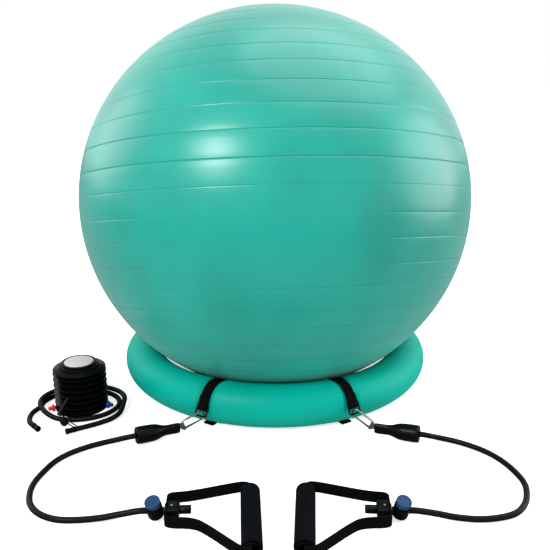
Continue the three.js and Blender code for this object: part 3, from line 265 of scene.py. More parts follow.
class Finish:
    """The nodes of one material, or of the world"""

    def __init__(self, name, kind="materials"):
        self.owner = getattr(bpy.data, kind).new(name)
        self.owner.use_nodes = True
        self.tree = self.owner.node_tree
        self.tree.nodes.clear()

    def add(self, kind, settings=None, values=None, output=0):
        node = self.tree.nodes.new(kind)
        for name, setting in (settings or {}).items():
            setattr(node, name, setting)
        for name, value in (values or {}).items():
            if isinstance(value, Value):
                self.tree.links.new(value.socket, node.inputs[name])
            else:
                node.inputs[name].default_value = value
        return Value(self, node.outputs[output]) if node.outputs else None

    def place(self):
        return self.add("ShaderNodeTexCoord", output="Object")

    def parts(self, vector):
        """The first two parts of a vector"""
        node = self.add("ShaderNodeSeparateXYZ", None, {0: vector}).socket.node
        return [Value(self, socket) for socket in node.outputs[:2]]

    def lanes(self):
        """How far along and across the webbing a place lies, in millimetres"""
        return self.parts(self.add("ShaderNodeUVMap", {"uv_map": "Weave"}))

    def noise(self, scale, detail=2.0, roughness=0.5):
        return self.add("ShaderNodeTexNoise", None, {
            "Vector": self.place(), "Scale": scale, "Detail": detail, "Roughness": roughness,
        })

    def mix(self, factor, first, second):
        """Blends two colours"""
        node = self.tree.nodes.new("ShaderNodeMix")
        node.data_type = "RGBA"
        for socket, value in ((node.inputs[0], factor), (node.inputs[6], first), (node.inputs[7], second)):
            if isinstance(value, Value):
                self.tree.links.new(value.socket, socket)
            else:
                socket.default_value = (*value, 1) if isinstance(value, tuple) else value
        return Value(self, node.outputs[2])

    def bump(self, height, distance, strength=1.0):
        values = {"Height": height, "Distance": distance, "Strength": strength}
        return self.add("ShaderNodeBump", None, values)

    def done(self, **values):
        sockets = {name.replace("_", " "): value for name, value in values.items()}
        self.shown(self.add("ShaderNodeBsdfPrincipled", None, sockets))

    def shown(self, shader, kind="Material"):
        self.add(f"ShaderNodeOutput{kind}", None, {"Surface": shader})


def ball_vinyl(f):
    """Satin vinyl, with a painted reflection as soft lighter and darker patches, and painted shade darkening
    its moulded grooves
    """
    mint = colour_of("ball")
    cloud = f.noise(5, 4)
    rib = f.add("ShaderNodeAttribute", {"attribute_name": "rib"}, None, "Fac")
    # Painted reflection: the broad noise makes soft lighter and darker patches in the colour, and it also
    # varies the roughness below
    base = f.mix(cloud.between(0.35, 0.65), toned(mint, 0.84), toned(mint, 1.08))
    base = f.mix(f.noise(60, 3).between(0.7, 0.8) * 0.25, base, toned(mint, 1.25))
    # Painted shade: the colour darkens with each groove's stored depth, where shade would fall in the groove
    base = f.mix(rib * 0.26, base, toned(mint, 0.55))
    f.done(
        Base_Color=base, Roughness=0.25 + 0.12 * cloud + 0.1 * rib, Specular_IOR_Level=0.45,
        Normal=f.bump(f.noise(900, 2), 0.00012, 0.5), Sheen_Weight=0.14, Sheen_Roughness=0.5,
    )


def ring_vinyl(f):
    """Thicker satin vinyl, with a finer grain than the ball's"""
    teal = colour_of("ring")
    cloud = f.noise(7, 3)
    base = f.mix(cloud.between(0.3, 0.7), toned(teal, 0.93), toned(teal, 1.05))
    height = f.noise(38, 4, 0.6) * 0.6 + f.noise(1100, 2) * 0.12
    f.done(
        Base_Color=base, Roughness=0.4 + 0.1 * cloud, Normal=f.bump(height, 0.0005, 0.35),
        Specular_IOR_Level=0.1,
    )


def webbing(f):
    """Narrow woven nylon: ribs across it, warp along it, and a little fuzz"""
    black, pitch = colour_of("webbing"), sizes().weave_pitch / MM
    along, across = f.lanes()
    weft, warp = (along * (2 * math.pi / pitch)).sine(), (across * (2 * math.pi / (1.3 * pitch))).sine()
    height = (weft * warp) * 0.5 + 0.5
    fuzz = f.noise(1500, 3)
    base = f.mix(height.between(0.1, 0.9), toned(black, 0.5), toned(black, 2.2))
    base = f.mix(fuzz.between(0.62, 0.8) * 0.3, base, toned(black, 5))
    f.done(
        Base_Color=base, Roughness=0.7 + 0.2 * fuzz, Normal=f.bump(height + fuzz * 0.3, 0.00035, 0.8),
        Specular_IOR_Level=0.04,
    )


def sleeve_cloth(f):
    """Glossy woven sleeve of the anchors"""
    black, rate = colour_of("webbing"), 2 * math.pi / (sizes().weave_pitch / MM)
    along, across = f.lanes()
    height = ((along * rate).sine() * (across * rate).sine()) * 0.5 + 0.5
    f.done(
        Base_Color=f.mix(height, toned(black, 0.6), toned(black, 1.8)),
        Roughness=0.16 + 0.1 * height + 0.14 * f.noise(90, 2), Normal=f.bump(height, 0.0001, 0.35),
        Specular_IOR_Level=0.1,
    )


def moulded(colour, roughness, grain, grain_height, wear=0.0, shine=0.2):
    """Moulded plastic or rubber: a fine grain, and faint handling marks"""
    def make(f):
        shade = colour_of(colour)
        marks = f.noise(140, 5, 0.65)
        light = tuple(min(1, c * 1.6 + 0.004) for c in shade)
        f.done(
            Base_Color=f.mix(marks.between(0.45, 0.75) * (0.12 + wear), shade, light),
            Roughness=roughness - 0.06 + 0.14 * marks, Normal=f.bump(f.noise(grain, 2), grain_height, 0.6),
            Specular_IOR_Level=shine,
        )
    return make


def metal(colour, roughness, brushed=0.0):
    """Plated or plain metal, a little smudged"""
    def make(f):
        shade = colour_of(colour)
        smudge = f.noise(210, 4, 0.6)
        height = f.noise(700 if brushed else 260, 3)
        f.done(
            Base_Color=f.mix(smudge.between(0.4, 0.8), shade, toned(shade, 0.78)), Metallic=1.0,
            Roughness=roughness + 0.16 * smudge, Normal=f.bump(height, 0.0001, 0.3 + brushed),
        )
    return make


def cell_foam(f):
    """Closed-cell foam with small pores"""
    black = colour_of("foam")
    cells = f.add("ShaderNodeTexVoronoi", None, {"Vector": f.place(), "Scale": 900})
    lumps = f.noise(120, 3)
    f.done(
        Base_Color=f.mix(cells.between(0.1, 0.6), toned(black, 0.6), toned(black, 1.7)),
        Roughness=0.78 + 0.15 * lumps, Normal=f.bump(cells * 0.8 + lumps * 0.5, 0.0003, 0.6),
        Specular_IOR_Level=0.04,
    )


def pad_rubber(f):
    """The pump's pale pad, with one moulded line across it"""
    pale = colour_of("pad")
    line = 1 - (f.parts(f.place())[1] - PUMP_PLACE[1] * MM).size().between(0.0006, 0.0011)
    marks = f.noise(90, 4)
    base = f.mix(marks, toned(pale, 0.88), toned(pale, 1.05))
    base = f.mix(line * 0.55, base, toned(pale, 0.4))
    height = f.noise(800, 2) * 0.2 - line
    f.done(Base_Color=base, Roughness=0.5 + 0.15 * marks, Normal=f.bump(height, 0.0004, 0.8))


# The record's slot and the maker of each finish
FINISHES = {
    "ball vinyl": ("ball_vinyl", ball_vinyl),
    "ring vinyl": ("ring_vinyl", ring_vinyl),
    "nylon webbing": ("webbing", webbing),
    "sleeve cloth": ("webbing", sleeve_cloth),
    "tube latex": ("tube_latex", moulded("tube", 0.34, 500, 0.0001, 0, 0.08)),
    "black plastic": ("black_plastic", moulded("plastic", 0.2, 900, 0.00002, 0, 0.06)),
    "satin black plastic": ("black_plastic", moulded("plastic", 0.38, 700, 0.00008, 0, 0.08)),
    "black rubber": ("black_rubber", moulded("rubber", 0.34, 600, 0.0001, 0, 0.1)),
    "valve rubber": ("valve_rubber", moulded("rubber", 0.5, 600, 0.0001, 0.05)),
    "blue plastic button": ("blue_button", moulded("button", 0.4, 800, 0.0001, 0.05)),
    "red plastic": ("red_plastic", moulded("red_port", 0.35, 800, 0.0001)),
    "blue plastic": ("blue_plastic", moulded("blue_port", 0.35, 800, 0.0001)),
    "stopper plastic": ("valve_plug", moulded("stopper", 0.5, 800, 0.0001)),
    "plated zinc": ("plated_metal", metal("plated", 0.12)),
    "spring steel": ("steel", metal("steel", 0.28, 0.3)),
    "cell foam": ("foam", cell_foam),
    "pad rubber": ("pad_grey", pad_rubber),
}
made = {}


def finish_of(name):
    """The material of that name, made once"""
    if name not in made:
        f = Finish(name)
        FINISHES[name][1](f)
        made[name] = f.owner
    return made[name]


# Mesh helpers; all of them work in millimetres until a piece is placed

SHARP = 32


def added(name, data):
    obj = bpy.data.objects.new(name, data)
    bpy.context.scene.collection.objects.link(obj)
    return obj


def mesh_of(name, bm):
    mesh = bpy.data.meshes.new(name)
    bm.to_mesh(mesh)
    bm.free()
    return mesh


def moved(bm, matrix):
    bmesh.ops.transform(bm, matrix=matrix, verts=bm.verts)
    return bm


def placed(bm, place):
    return moved(bm, Matrix.Scale(MM, 4) @ place)


def dressed(name, data, finish, body, *nodes, slot=None):
    """Puts a shape in the scene, gives it its finish and lets it ride"""
    obj = added(name, data)
    obj.data.materials.append(finish_of(finish))
    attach(obj, body)
    if nodes:
        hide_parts(*nodes)
    return obj


def piece(name, bm, place, finish, body, *nodes, slot=None):
    """Makes a piece from a mesh in millimetres"""
    placed(bm, place)
    for face in bm.faces:
        face.smooth = True
    for edge in bm.edges:
        if len(edge.link_faces) == 2:
            edge.smooth = edge.calc_face_angle(0) < rad(SHARP)
    return dressed(name, mesh_of(name, bm), finish, body, *nodes, slot=slot)


def side_piece(side, name, bm, place, finish, node, body="base"):
    """Makes one piece of a left and right pair"""
    return piece(f"{name}_{side}", bm, place, finish, body, f"{node}_{side}")


def tidy(bm):
    bmesh.ops.remove_doubles(bm, verts=bm.verts, dist=0.0005)
    bmesh.ops.recalc_face_normals(bm, faces=bm.faces)
    return bm


def bevelled(bm, edges, width, segments):
    bmesh.ops.bevel(
        bm, geom=edges, offset=width, offset_type="OFFSET", affect="EDGES", segments=segments,
        profile=0.5, material=-1, clamp_overlap=True,
    )
    return bm


def softened(bm, width, segments=2, least=30):
    """Bevels every edge that turns by more than an angle"""
    edges = [e for e in bm.edges if len(e.link_faces) == 2 and e.calc_face_angle(0) > rad(least)]
    return bevelled(bm, edges, width, segments)


def thickened(bm, way):
    grown = bmesh.ops.extrude_face_region(bm, geom=bm.faces[:])["geom"]
    bmesh.ops.translate(bm, verts=[g for g in grown if isinstance(g, bmesh.types.BMVert)], vec=way)
    return bm


def hoop(radius, segments, reach, height=0.0):
    """A circle in the XZ plane"""
    bm = bmesh.new()
    bmesh.ops.create_circle(bm, radius=radius, segments=segments)
    return moved(bm, shift(reach, 0, height) @ turn(90, "X"))


def spun(bm, steps, curls=1, rise=0.0):
    """Carries a line round Z: once round it closes, and with a rise it makes a helix"""
    bmesh.ops.spin(
        bm, geom=bm.verts[:] + bm.edges[:], cent=(0, 0, 0), axis=(0, 0, 1), dvec=(0, 0, rise),
        angle=2 * math.pi * curls, steps=steps, use_merge=not rise, use_duplicate=False,
    )
    return bm


def turned(profile, steps=48):
    """A body turned about Z from a profile of (radius, height), which closes if it starts off the axis"""
    bm = bmesh.new()
    verts = [bm.verts.new((r, 0, z)) for r, z in profile]
    for a, b in zip(verts, verts[1:] + verts[:1] if profile[0][0] else verts[1:]):
        bm.edges.new((a, b))
    return tidy(spun(bm, steps))


def rod(radius, low, high, steps=32):
    return turned([(0, low), (radius, low), (radius, high), (0, high)], steps)


def coil_of(radius, wire_radius, low, high, curls, steps=24):
    """A spring: a small circle carried up a helix"""
    count = round(curls * steps)
    bm = hoop(wire_radius, 10, radius, low + wire_radius)
    spun(bm, count, curls, (high - low - 2 * wire_radius) / count)
    bmesh.ops.holes_fill(bm, edges=[e for e in bm.edges if e.is_boundary], sides=12)
    return tidy(bm)


def plate(outline, thick, soft, segments=2):
    """A flat outline made thick, centred on its plane, with softened edges"""
    bm = bmesh.new()
    bm.faces.new([bm.verts.new((x, y, -thick / 2)) for x, y in outline])
    thickened(bm, (0, 0, thick))
    bmesh.ops.recalc_face_normals(bm, faces=bm.faces)
    rims = [e for e in bm.edges if abs(e.verts[0].co.z - e.verts[1].co.z) < 0.001]
    return bevelled(bm, rims, soft, segments)


def block(low, high, soft=0.0, segments=3):
    """A box between two corners, with softened edges"""
    bm = bmesh.new()
    bmesh.ops.create_cube(bm, size=1)
    low, high = Vector(low), Vector(high)
    moved(bm, Matrix.LocRotScale((high + low) / 2, None, high - low))
    return softened(bm, soft, segments) if soft else bm


def joined(*parts):
    """Puts several meshes into one"""
    whole = parts[0]
    for part in parts[1:]:
        mesh = mesh_of("part", part)
        whole.from_mesh(mesh)
        bpy.data.meshes.remove(mesh)
    return whole


def cut(obj, cutter, place):
    """Takes a mesh in millimetres out of a placed piece"""
    tool = added("cutter", mesh_of("cutter", placed(cutter, place)))
    modifier = obj.modifiers.new("cut", "BOOLEAN")
    modifier.operation, modifier.object, modifier.solver = "DIFFERENCE", tool, "EXACT"
    bpy.context.view_layer.update()
    ready = bpy.data.meshes.new_from_object(obj.evaluated_get(bpy.context.evaluated_depsgraph_get()))
    obj.modifiers.remove(modifier)
    spare = (tool.data, obj.data)
    bpy.data.objects.remove(tool)
    obj.data = ready
    for mesh in spare:
        bpy.data.meshes.remove(mesh)


def arc(reach, start, end, step=3.0, centre=(0, 0)):
    """Points on a circle between two angles in degrees, both included"""
    count = max(1, round(abs(end - start) / step))
    angles = [rad(start + (end - start) * i / count) for i in range(count + 1)]
    return [(centre[0] + reach * math.cos(a), centre[1] + reach * math.sin(a)) for a in angles]


def beside(line, distance, closed=False):
    """A flat line moved sideways by a distance, with mitred corners"""
    aside, last = [], len(line) - 1
    for i, point in enumerate(line):
        before = point - line[i - 1] if i or closed else line[1] - line[0]
        after = line[(i + 1) % len(line)] - point if i < last or closed else line[-1] - line[-2]
        before, middle = before.normalized(), (before.normalized() + after.normalized()).normalized()
        aside.append(point + Vector((middle.y, -middle.x)) * (distance / max(0.3, middle.dot(before))))
    return aside


def ribbon(path, width, thick, soft=0.25, closed=False):
    """A strip of webbing whose middle line runs in the XZ plane and whose width lies along Y"""
    path = [Vector(p) for p in path]
    bm = bmesh.new()
    lanes = bm.loops.layers.uv.new("Weave")
    along = bm.verts.layers.float.new("along")
    rows = []
    for line in (beside(path, thick / 2, closed), beside(path, -thick / 2, closed)):
        total, row = 0.0, []
        for i, point in enumerate(line):
            total += (path[i] - path[i - 1]).length if i else 0
            vert = bm.verts.new((point.x, -width / 2, point.y))
            vert[along] = total
            row.append(vert)
        rows.append(row)
    first, second = rows
    for i in range(len(path) if closed else len(path) - 1):
        j = (i + 1) % len(path)
        bm.faces.new((first[i], first[j], second[j], second[i]))
    tidy(thickened(bm, (0, width, 0)))
    for face in bm.faces:
        reach = [loop.vert[along] for loop in face.loops]
        wraps = max(reach) - min(reach) > total / 2
        for loop, value in zip(face.loops, reach):
            value += total if wraps and value < total / 2 else 0
            loop[lanes].uv = (value, loop.vert.co.y + loop.vert.co.z * 0.01)
    return softened(bm, soft, 2, 50)


def rounded(line, times=2):
    """Cuts the corners of a closed flat line"""
    for _ in range(times):
        line = [p for a, b in zip(line, line[1:] + line[:1]) for p in (a.lerp(b, 0.25), a.lerp(b, 0.75))]
    return line


def woven(bm):
    """Gives a turned piece a weave that runs along and round it"""
    lanes = bm.loops.layers.uv.new("Weave")
    for face in bm.faces:
        angles = [math.atan2(loop.vert.co.y, loop.vert.co.x) for loop in face.loops]
        wraps = max(angles) - min(angles) > math.pi
        for loop, angle in zip(face.loops, angles):
            angle += 2 * math.pi if wraps and angle < 0 else 0
            loop[lanes].uv = (loop.vert.co.z, angle * 8)
    return bm


def wire(name, points, radius, finish, body, node, closed=False, radii=None, round_steps=4):
    """A round wire or cord along points in millimetres, as a curve"""
    curve = bpy.data.curves.new(name, "CURVE")
    curve.dimensions = "3D"
    curve.bevel_depth = radius * MM
    curve.bevel_resolution = round_steps
    curve.use_fill_caps = not closed
    spline = curve.splines.new("POLY")
    spline.points.add(len(points) - 1)
    for i, (point, place) in enumerate(zip(spline.points, points)):
        point.co = (*(place * MM), 1)
        point.radius = radii[i] if radii else 1
    spline.use_cyclic_u = closed
    spline.use_smooth = True
    return dressed(name, curve, finish, body, node)


def route(points, per_span=6):
    """A smooth line through points, the same one that the solids follow"""
    points = [Vector(p) for p in points]
    ends = [2 * points[0] - points[1], *points, 2 * points[-1] - points[-2]]
    line = []
    for p0, p1, p2, p3 in zip(ends, ends[1:], ends[2:], ends[3:]):
        d0, d1, d2 = (max(1e-4, (b - a).length ** 0.5) for a, b in ((p0, p1), (p1, p2), (p2, p3)))
        t1 = ((p1 - p0) / d0 - (p2 - p0) / (d0 + d1) + (p2 - p1) / d1) * d1
        t2 = ((p2 - p1) / d1 - (p3 - p1) / (d1 + d2) + (p3 - p2) / d2) * d1
        for k in range(per_span):
            t = k / per_span
            line.append(
                p1 + t1 * t + (-3 * p1 + 3 * p2 - 2 * t1 - t2) * t ** 2 + (2 * p1 - 2 * p2 + t1 + t2) * t ** 3
            )
    line.append(points[-1])
    return line


# Sizes and colours that a user would change

def length_property(label, note, default):
    return bpy.props.FloatProperty(name=label, description=note, default=default, min=0.0002, unit="LENGTH")


def colour_property(label, note, code):
    return bpy.props.FloatVectorProperty(
        name=label, description=note, default=linear(code), size=3, min=0, max=1, subtype="COLOR",
    )


class BallChairSizes(bpy.types.PropertyGroup):
    """Sizes of the ball chair's finish and fittings"""
    rib_depth: length_property("Rib depth", "Depth of the ball's moulded grooves", 0.00045)
    rib_width: length_property("Rib width", "Width of one groove from lip to lip", 0.0032)
    weave_pitch: length_property("Weave pitch", "Length of one rib of the woven webbing", 0.0016)
    strap_width: length_property("Band width", "Width of the bands on the ring", 0.0165)
    tube_diameter: length_property("Tube diameter", "Outer diameter of the resistance tubes", 0.008)
    hose_diameter: length_property("Hose diameter", "Outer diameter of the pump's hose", 0.0082)
    hose_rib_pitch: length_property("Hose rib pitch", "Distance between the ribs of the pump's hose", 0.003)
    grip_diameter: length_property("Grip diameter", "Outer diameter of the foam grips", 0.025)
    floor_size: length_property("Floor size", "Length of each side of the studio floor", 30.0)


class BallChairColours(bpy.types.PropertyGroup):
    """Colours of the ball chair's materials"""
    ball: colour_property("Ball", "Vinyl of the ball", "009C8C")
    ring: colour_property("Ring", "Vinyl of the floor ring", "00AE9B")
    webbing: colour_property("Webbing", "Bands, anchors and handle straps", "060608")
    tube: colour_property("Tube", "Latex of the resistance tubes", "0E1016")
    plastic: colour_property("Plastic", "Black plastic of the fittings and the pump", "050506")
    rubber: colour_property("Rubber", "Black rubber of the hose, caps and blocks", "0B0B0C")
    button: colour_property("Lock button", "Blue buttons of the tube locks", "133B61")
    red_port: colour_property("Red port", "The pump's red port", "F03020")
    blue_port: colour_property("Blue port", "The pump's blue port", "1040A0")
    stopper: colour_property("Stopper", "Stoppers of the air valves", "E8E8E4")
    plated: colour_property("Plated metal", "Snap hooks and eyelets", "9A9892")
    steel: colour_property("Steel", "Pins, rivets and springs", "77797B")
    foam: colour_property("Foam", "Foam of the grips", "050609")
    pad: colour_property("Pad", "The pump's pale pad", "D8D0CE")


# Ball and ring

# Latitudes of the grooves about the ball's tilted axis, and the longitudes between which three of them stop
RIBS = (
    78.1, 71.7, 65.3, 58.9, 52, 45.8, 39.5, 33.4, 27.1, 20.7, 14.2, 7.4, 1, -5.7, -11.9, -18.5,
    -23.9, -30.5, -35.7, -42, -48.4, -54.6,
)
RIB_WEIGHTS = {14.2: 1.35, 7.4: 1.45, 1: 0.5, -42: 0.5, 78.1: 0.7}
BROKEN_RIBS = (-5.7, -11.9, -18.5)
RIB_GAP = (-34.3, 28.9)
RIB_FADE = 3
RIB_STEPS = (-1.05, -0.8, -0.5, -0.2, 0, 0.2, 0.5, 0.8, 1.05)
BALL_STEP = 2.2
# Steps in degrees round the ring, each used within a reach of a band
RING_STEPS = ((5.6, 0.25), (8, 0.7), (360, 1.4))
# A band's press on the ring: how deep, half its width, how far it eases out, and the swell beside it
PRESS_DEPTH, PRESS_HALF, PRESS_EASE = 2.4, 8.6, 6
SWELL_HEIGHT, SWELL_PLACE, SWELL_WIDTH = 0.5, 16.5, 3.5
# How far along and across the ring a band's press is felt, and its start in degrees before the D-ring
PRESS_REACH, PRESS_ACROSS, PRESS_LEAD = 22, 60, 9

# Profiles of turned parts are (radius, height), and blocks are two opposite corners
STOPPER = (
    (0, -9.2), (2, -9.2), (2.5, -8.6), (3.2, -3.7), (3.2, 1.8), (6.9, 1.8), (7.5, 2.2), (7.5, 2.8),
    (6.8, 3.4), (3.6, 3.4), (3.1, 3.1), (0, 3),
)


def rib_half():
    """Half a groove's width, in degrees"""
    return math.degrees(sizes().rib_width / MM / BALL_RADIUS) / 2


def rib_depths(bm):
    """Sinks the moulded grooves into a ball whose pole is up; stores how deep each place lies"""
    rib, half = bm.verts.layers.float.new("rib"), rib_half()
    for vert in bm.verts:
        latitude = math.degrees(math.asin(max(-1, min(1, vert.co.z / BALL_RADIUS))))
        nearest = min(RIBS, key=lambda r: abs(r - latitude))
        part = abs(latitude - nearest) / half
        if part >= 1:
            continue
        depth = (0.5 + 0.5 * math.cos(math.pi * part)) * RIB_WEIGHTS.get(nearest, 1)
        if nearest in BROKEN_RIBS:
            longitude = math.degrees(math.atan2(vert.co.y, vert.co.x))
            inside = min(longitude - RIB_GAP[0], RIB_GAP[1] - longitude)
            depth *= 1 - max(0, min(1, 0.5 + inside / RIB_FADE))
        # This depth also sets the painted shade in the ball's colour
        vert[rib] = depth
        vert.co *= 1 - depth * sizes().rib_depth / MM / BALL_RADIUS


class BALL_CHAIR_OT_ball(bpy.types.Operator):
    """Models the ribbed ball, flat where it rests on the floor"""
    bl_idname = "ball_chair.ball"
    bl_label = "Ball"

    def execute(self, context):
        latitudes = {-90.0, 90.0}
        for rib in RIBS:
            latitudes.update(rib + rib_half() * k for k in RIB_STEPS)
        for high, low in zip((90, *RIBS), (*RIBS, -90)):
            count = max(2, round((high - low) / BALL_STEP))
            latitudes.update(low + (high - low) * k / count for k in range(1, count))
        between = [(p.x, p.z) for p in (upright(a, BALL_RADIUS) for a in sorted(latitudes)[1:-1])]
        bm = turned([(0, -BALL_RADIUS), *between, (0, BALL_RADIUS)], 180)
        rib_depths(bm)
        axis = flat(RIB_HEADING) * math.sin(rad(RIB_TILT)) + UP * math.cos(rad(RIB_TILT))
        front = (Vector((0, -1, 0)) + axis * axis.y).normalized()
        tilted = frame_from(front, axis.cross(front), axis, Vector())
        centre, squash = Vector((0, 0, BALL_CENTRE)), Vector((1, 1, BALL_UPRIGHT / BALL_RADIUS))
        moved(bm, Matrix.LocRotScale(centre, None, squash) @ tilted)
        for vert in bm.verts:
            vert.co.z = max(0, vert.co.z)
        ball = piece("ball", bm, Matrix(), "ball vinyl", "ball", "ball_shell")
        for edge in ball.data.edges:
            edge.use_edge_sharp = False
        valve("ball", frame_along(centre + squash * axis * BALL_RADIUS, axis), "ball", 0.3)
        return {"FINISHED"}


def valve(name, place, body, skirt):
    """A rubber socket in the skin of the ball or the ring, and the stopper pushed into it"""
    socket = turned((
        (3.5, -9), (5.2, -9), (7, -6.4), (7, -4.9), (5.2, -4.9), (5.2, -0.2), (11.4, -skirt),
        (12, 0.2 - skirt), (12, 0.6), (11.2, 1.3), (9.2, 1.5), (8.9, 1.2), (8.5, 1.5), (4.4, 1.5), (3.5, 0.9),
    ))
    piece(f"{name}_valve", socket, place, "valve rubber", body, f"{name}_valve_socket")
    plug = joined(turned(STOPPER), block((-2.2, 6.6, 1.9), (2.2, 10.4, 3.1), 0.5))
    piece(f"{name}_stopper", plug, place, "stopper plastic", f"{name}_stopper", f"{name}_plug")


def ring_headings():
    """Headings round the ring, close together at the bands"""
    headings, heading = [], -180.0
    while heading < 180 - 0.2:
        headings.append(heading)
        near = min(abs(heading - m) for m in STRAP_PLACE.values())
        heading += next(step for reach, step in RING_STEPS if near < reach)
    return headings


def pressed_in(place, degrees, frames):
    """How far the bands press the skin in at a place of the ring, in millimetres"""
    depth = 0.0
    for side, band in frames.items():
        local = band.inverted_safe() @ place
        off = abs(local.y)
        if off > PRESS_REACH or abs(local.x) > PRESS_ACROSS:
            continue
        start, end = LOOP_ANGLE[side] - PRESS_LEAD, GROOVE_END
        inside = min(degrees - start, end - degrees) if start < degrees < end else -1
        hold = max(0, min(1, inside / PRESS_EASE))
        dip = PRESS_DEPTH * smooth(1 - (off - PRESS_HALF) / PRESS_EASE)
        swell = SWELL_HEIGHT * math.exp(-((off - SWELL_PLACE) / SWELL_WIDTH) ** 2)
        depth = max(depth, dip * hold) - swell * hold
    return depth


class BALL_CHAIR_OT_ring(bpy.types.Operator):
    """Models the soft floor ring, pressed in where its bands go round it"""
    bl_idname = "ball_chair.ring"
    bl_label = "Floor ring"

    def execute(self, context):
        headings = ring_headings()
        bm = tidy(spun(hoop(RING_TUBE, 72, RING_DEEP), len(headings)))
        frames = {side: strap_frame(side) for side in SIDES}
        for vert in bm.verts:
            share = math.atan2(vert.co.y, vert.co.x) / (2 * math.pi) % 1
            here = ring_frame(headings[round(share * len(headings)) % len(headings)])
            around = math.degrees(math.atan2(vert.co.z, math.hypot(vert.co.x, vert.co.y) - RING_DEEP))
            pressed = pressed_in(here @ upright(around, RING_TUBE), around % 360, frames)
            place = here @ upright(around, RING_TUBE - pressed)
            vert.co = (place.x, place.y, max(0, place.z))
        piece("floor_ring", bm, Matrix(), "ring vinyl", "base", "ring_shell")
        out = upright(RING_VALVE_RISE)
        valve("ring", ring_frame(90) @ frame_along(out * RING_TUBE, out), "base", 1.6)
        return {"FINISHED"}


# Bands, D-rings, hooks and anchors

BAND_THICK = 1.55
D_RING_WIRE = 1.3
D_RING_HALF = 9.85
D_RING_CORNER = 2.9
HOOK_THICK = 3.4
GATE_THICK = 1.3
GATE_SLOT = ((23.8, -10, -0.95), (31.4, -1.7, 0.95))
STITCH_REACH = 34.3
STITCH_STEP = 3.1
GATE_PIN = (
    (0, -2.5), (1, -2.5), (1.5, -2.2), (1.5, -2), (0.8, -2), (0.8, 2), (1.5, 2), (1.5, 2.2), (1, 2.5),
    (0, 2.5),
)
# Height, radius and share of the width at each station of an anchor
ANCHOR_STATIONS = (
    (0, 7.5, 0.5), (3.3, 8.2, 0.5), (11.2, 8.2, 0.5), (17, 8, 0.57), (22.4, 8.1, 0.66), (28.4, 9.4, 0.76),
    (35, 11.5, 0.88), (40, 12.3, 0.92), (45, 12.6, 0.95), (54, 12.8, 0.95), (61, 12.8, 0.95),
    (64, 12.6, 0.95), (65.5, 12.3, 0.95), (66, 11.9, 0.95),
)
SLEEVE_WALL = 1.6
SLEEVE_BORE = 10.2
SLEEVE_PLUG = (
    (0, 41), (6.4, 41), (9, 45), (10.2, 54), (10.2, 65.2), (9.5, 65.9), (6.6, 66), (6.2, 65.6), (5.4, 65.6),
    (4.4, 65), (4.4, 63.2), (0, 63.2),
)


def band_path(angle):
    """A band's middle line, from its tab on the floor round the ring and the D-ring's bar to its sewn end"""
    bar = upright(angle, LOOP_REACH)
    return [
        (12.2, -30.12), (16, -30.12), *arc(0.8, 90, -90, 30, (20.4, -30.92)), (16, -31.72), (9, -31.72),
        (3, -31.72), *arc(31.72, 270, angle), *arc(3.3, angle + 180, angle + 415, 20, (bar.x, bar.z))[1:],
        *arc(33.5, angle + 17, angle + 31),
    ]


def band_stitches(angle):
    """Two rows of short raised threads, each a few faces"""
    threads = []
    for row in (angle + 20, angle + 28.5):
        for k in range(-2, 3):
            spot = upright(row, STITCH_REACH)
            thread = block((-1.2, -0.275, -0.2), (1.2, 0.275, 0.2), 0.15, 1)
            threads.append(moved(thread, shift(spot.x, k * STITCH_STEP, spot.z) @ turn(90 - row, "Y")))
    return joined(*threads)


class BALL_CHAIR_OT_bands(bpy.types.Operator):
    """Models the two webbing bands that go round the ring, each folded round its D-ring and sewn"""
    bl_idname = "ball_chair.bands"
    bl_label = "Bands"

    def execute(self, context):
        for side, angle in LOOP_ANGLE.items():
            place = strap_frame(side)
            band = ribbon(band_path(angle), sizes().strap_width / MM, BAND_THICK)
            side_piece(side, "band", band, place, "nylon webbing", "ring_strap")
            threads = band_stitches(angle)
            piece(f"band_stitches_{side}", threads, place, "satin black plastic", "base", slot="webbing")
        return {"FINISHED"}


class BALL_CHAIR_OT_d_rings(bpy.types.Operator):
    """Models the D-rings that hang from the bands"""
    bl_idname = "ball_chair.d_rings"
    bl_label = "D-rings"

    def execute(self, context):
        wide, top, foot = D_RING_HALF - D_RING_CORNER, -D_RING_CORNER, D_RING_CORNER - D_RING_REACH
        outline = []
        for quarter, centre in enumerate(((wide, top), (-wide, top), (-wide, foot), (wide, foot))):
            outline += arc(D_RING_CORNER, 90 * quarter, 90 * quarter + 90, 15, centre)
        for side in SIDES:
            place = side_frames(side)["d_ring"]
            wire(
                f"d_ring_wire_{side}", [place @ Vector((x, y, 0)) for x, y in outline], D_RING_WIRE,
                "satin black plastic", f"loop_{side}", f"d_ring_{side}", closed=True, round_steps=5,
            )
        return {"FINISHED"}


def hook_outline():
    """The outline of a hook's body: bow, spine, nose and shoulder"""
    return [
        (1.4, -7.2), (1.6, -6.2), (1.2, -5), *arc(5, -90, -270, 9), (24.2, 5), (25.4, 4.7), (26, 3.6),
        (26, -3.2), (25.8, -5.4), (26.3, -7), *arc(2.5, 215, 330, 15, GATE_PIVOT), (31.6, -6.1), (33, -5.2),
        (33, -3.2), (40.6, -3.2), (41.6, -2.4), (41.6, 2.4), (40.6, 3.2), (33, 3.2), (33, 5.2), (30, 6.3),
        (26, 7), (19, 7.35), (9, 7.4), *arc(7.4, 90, 262, 8),
    ]


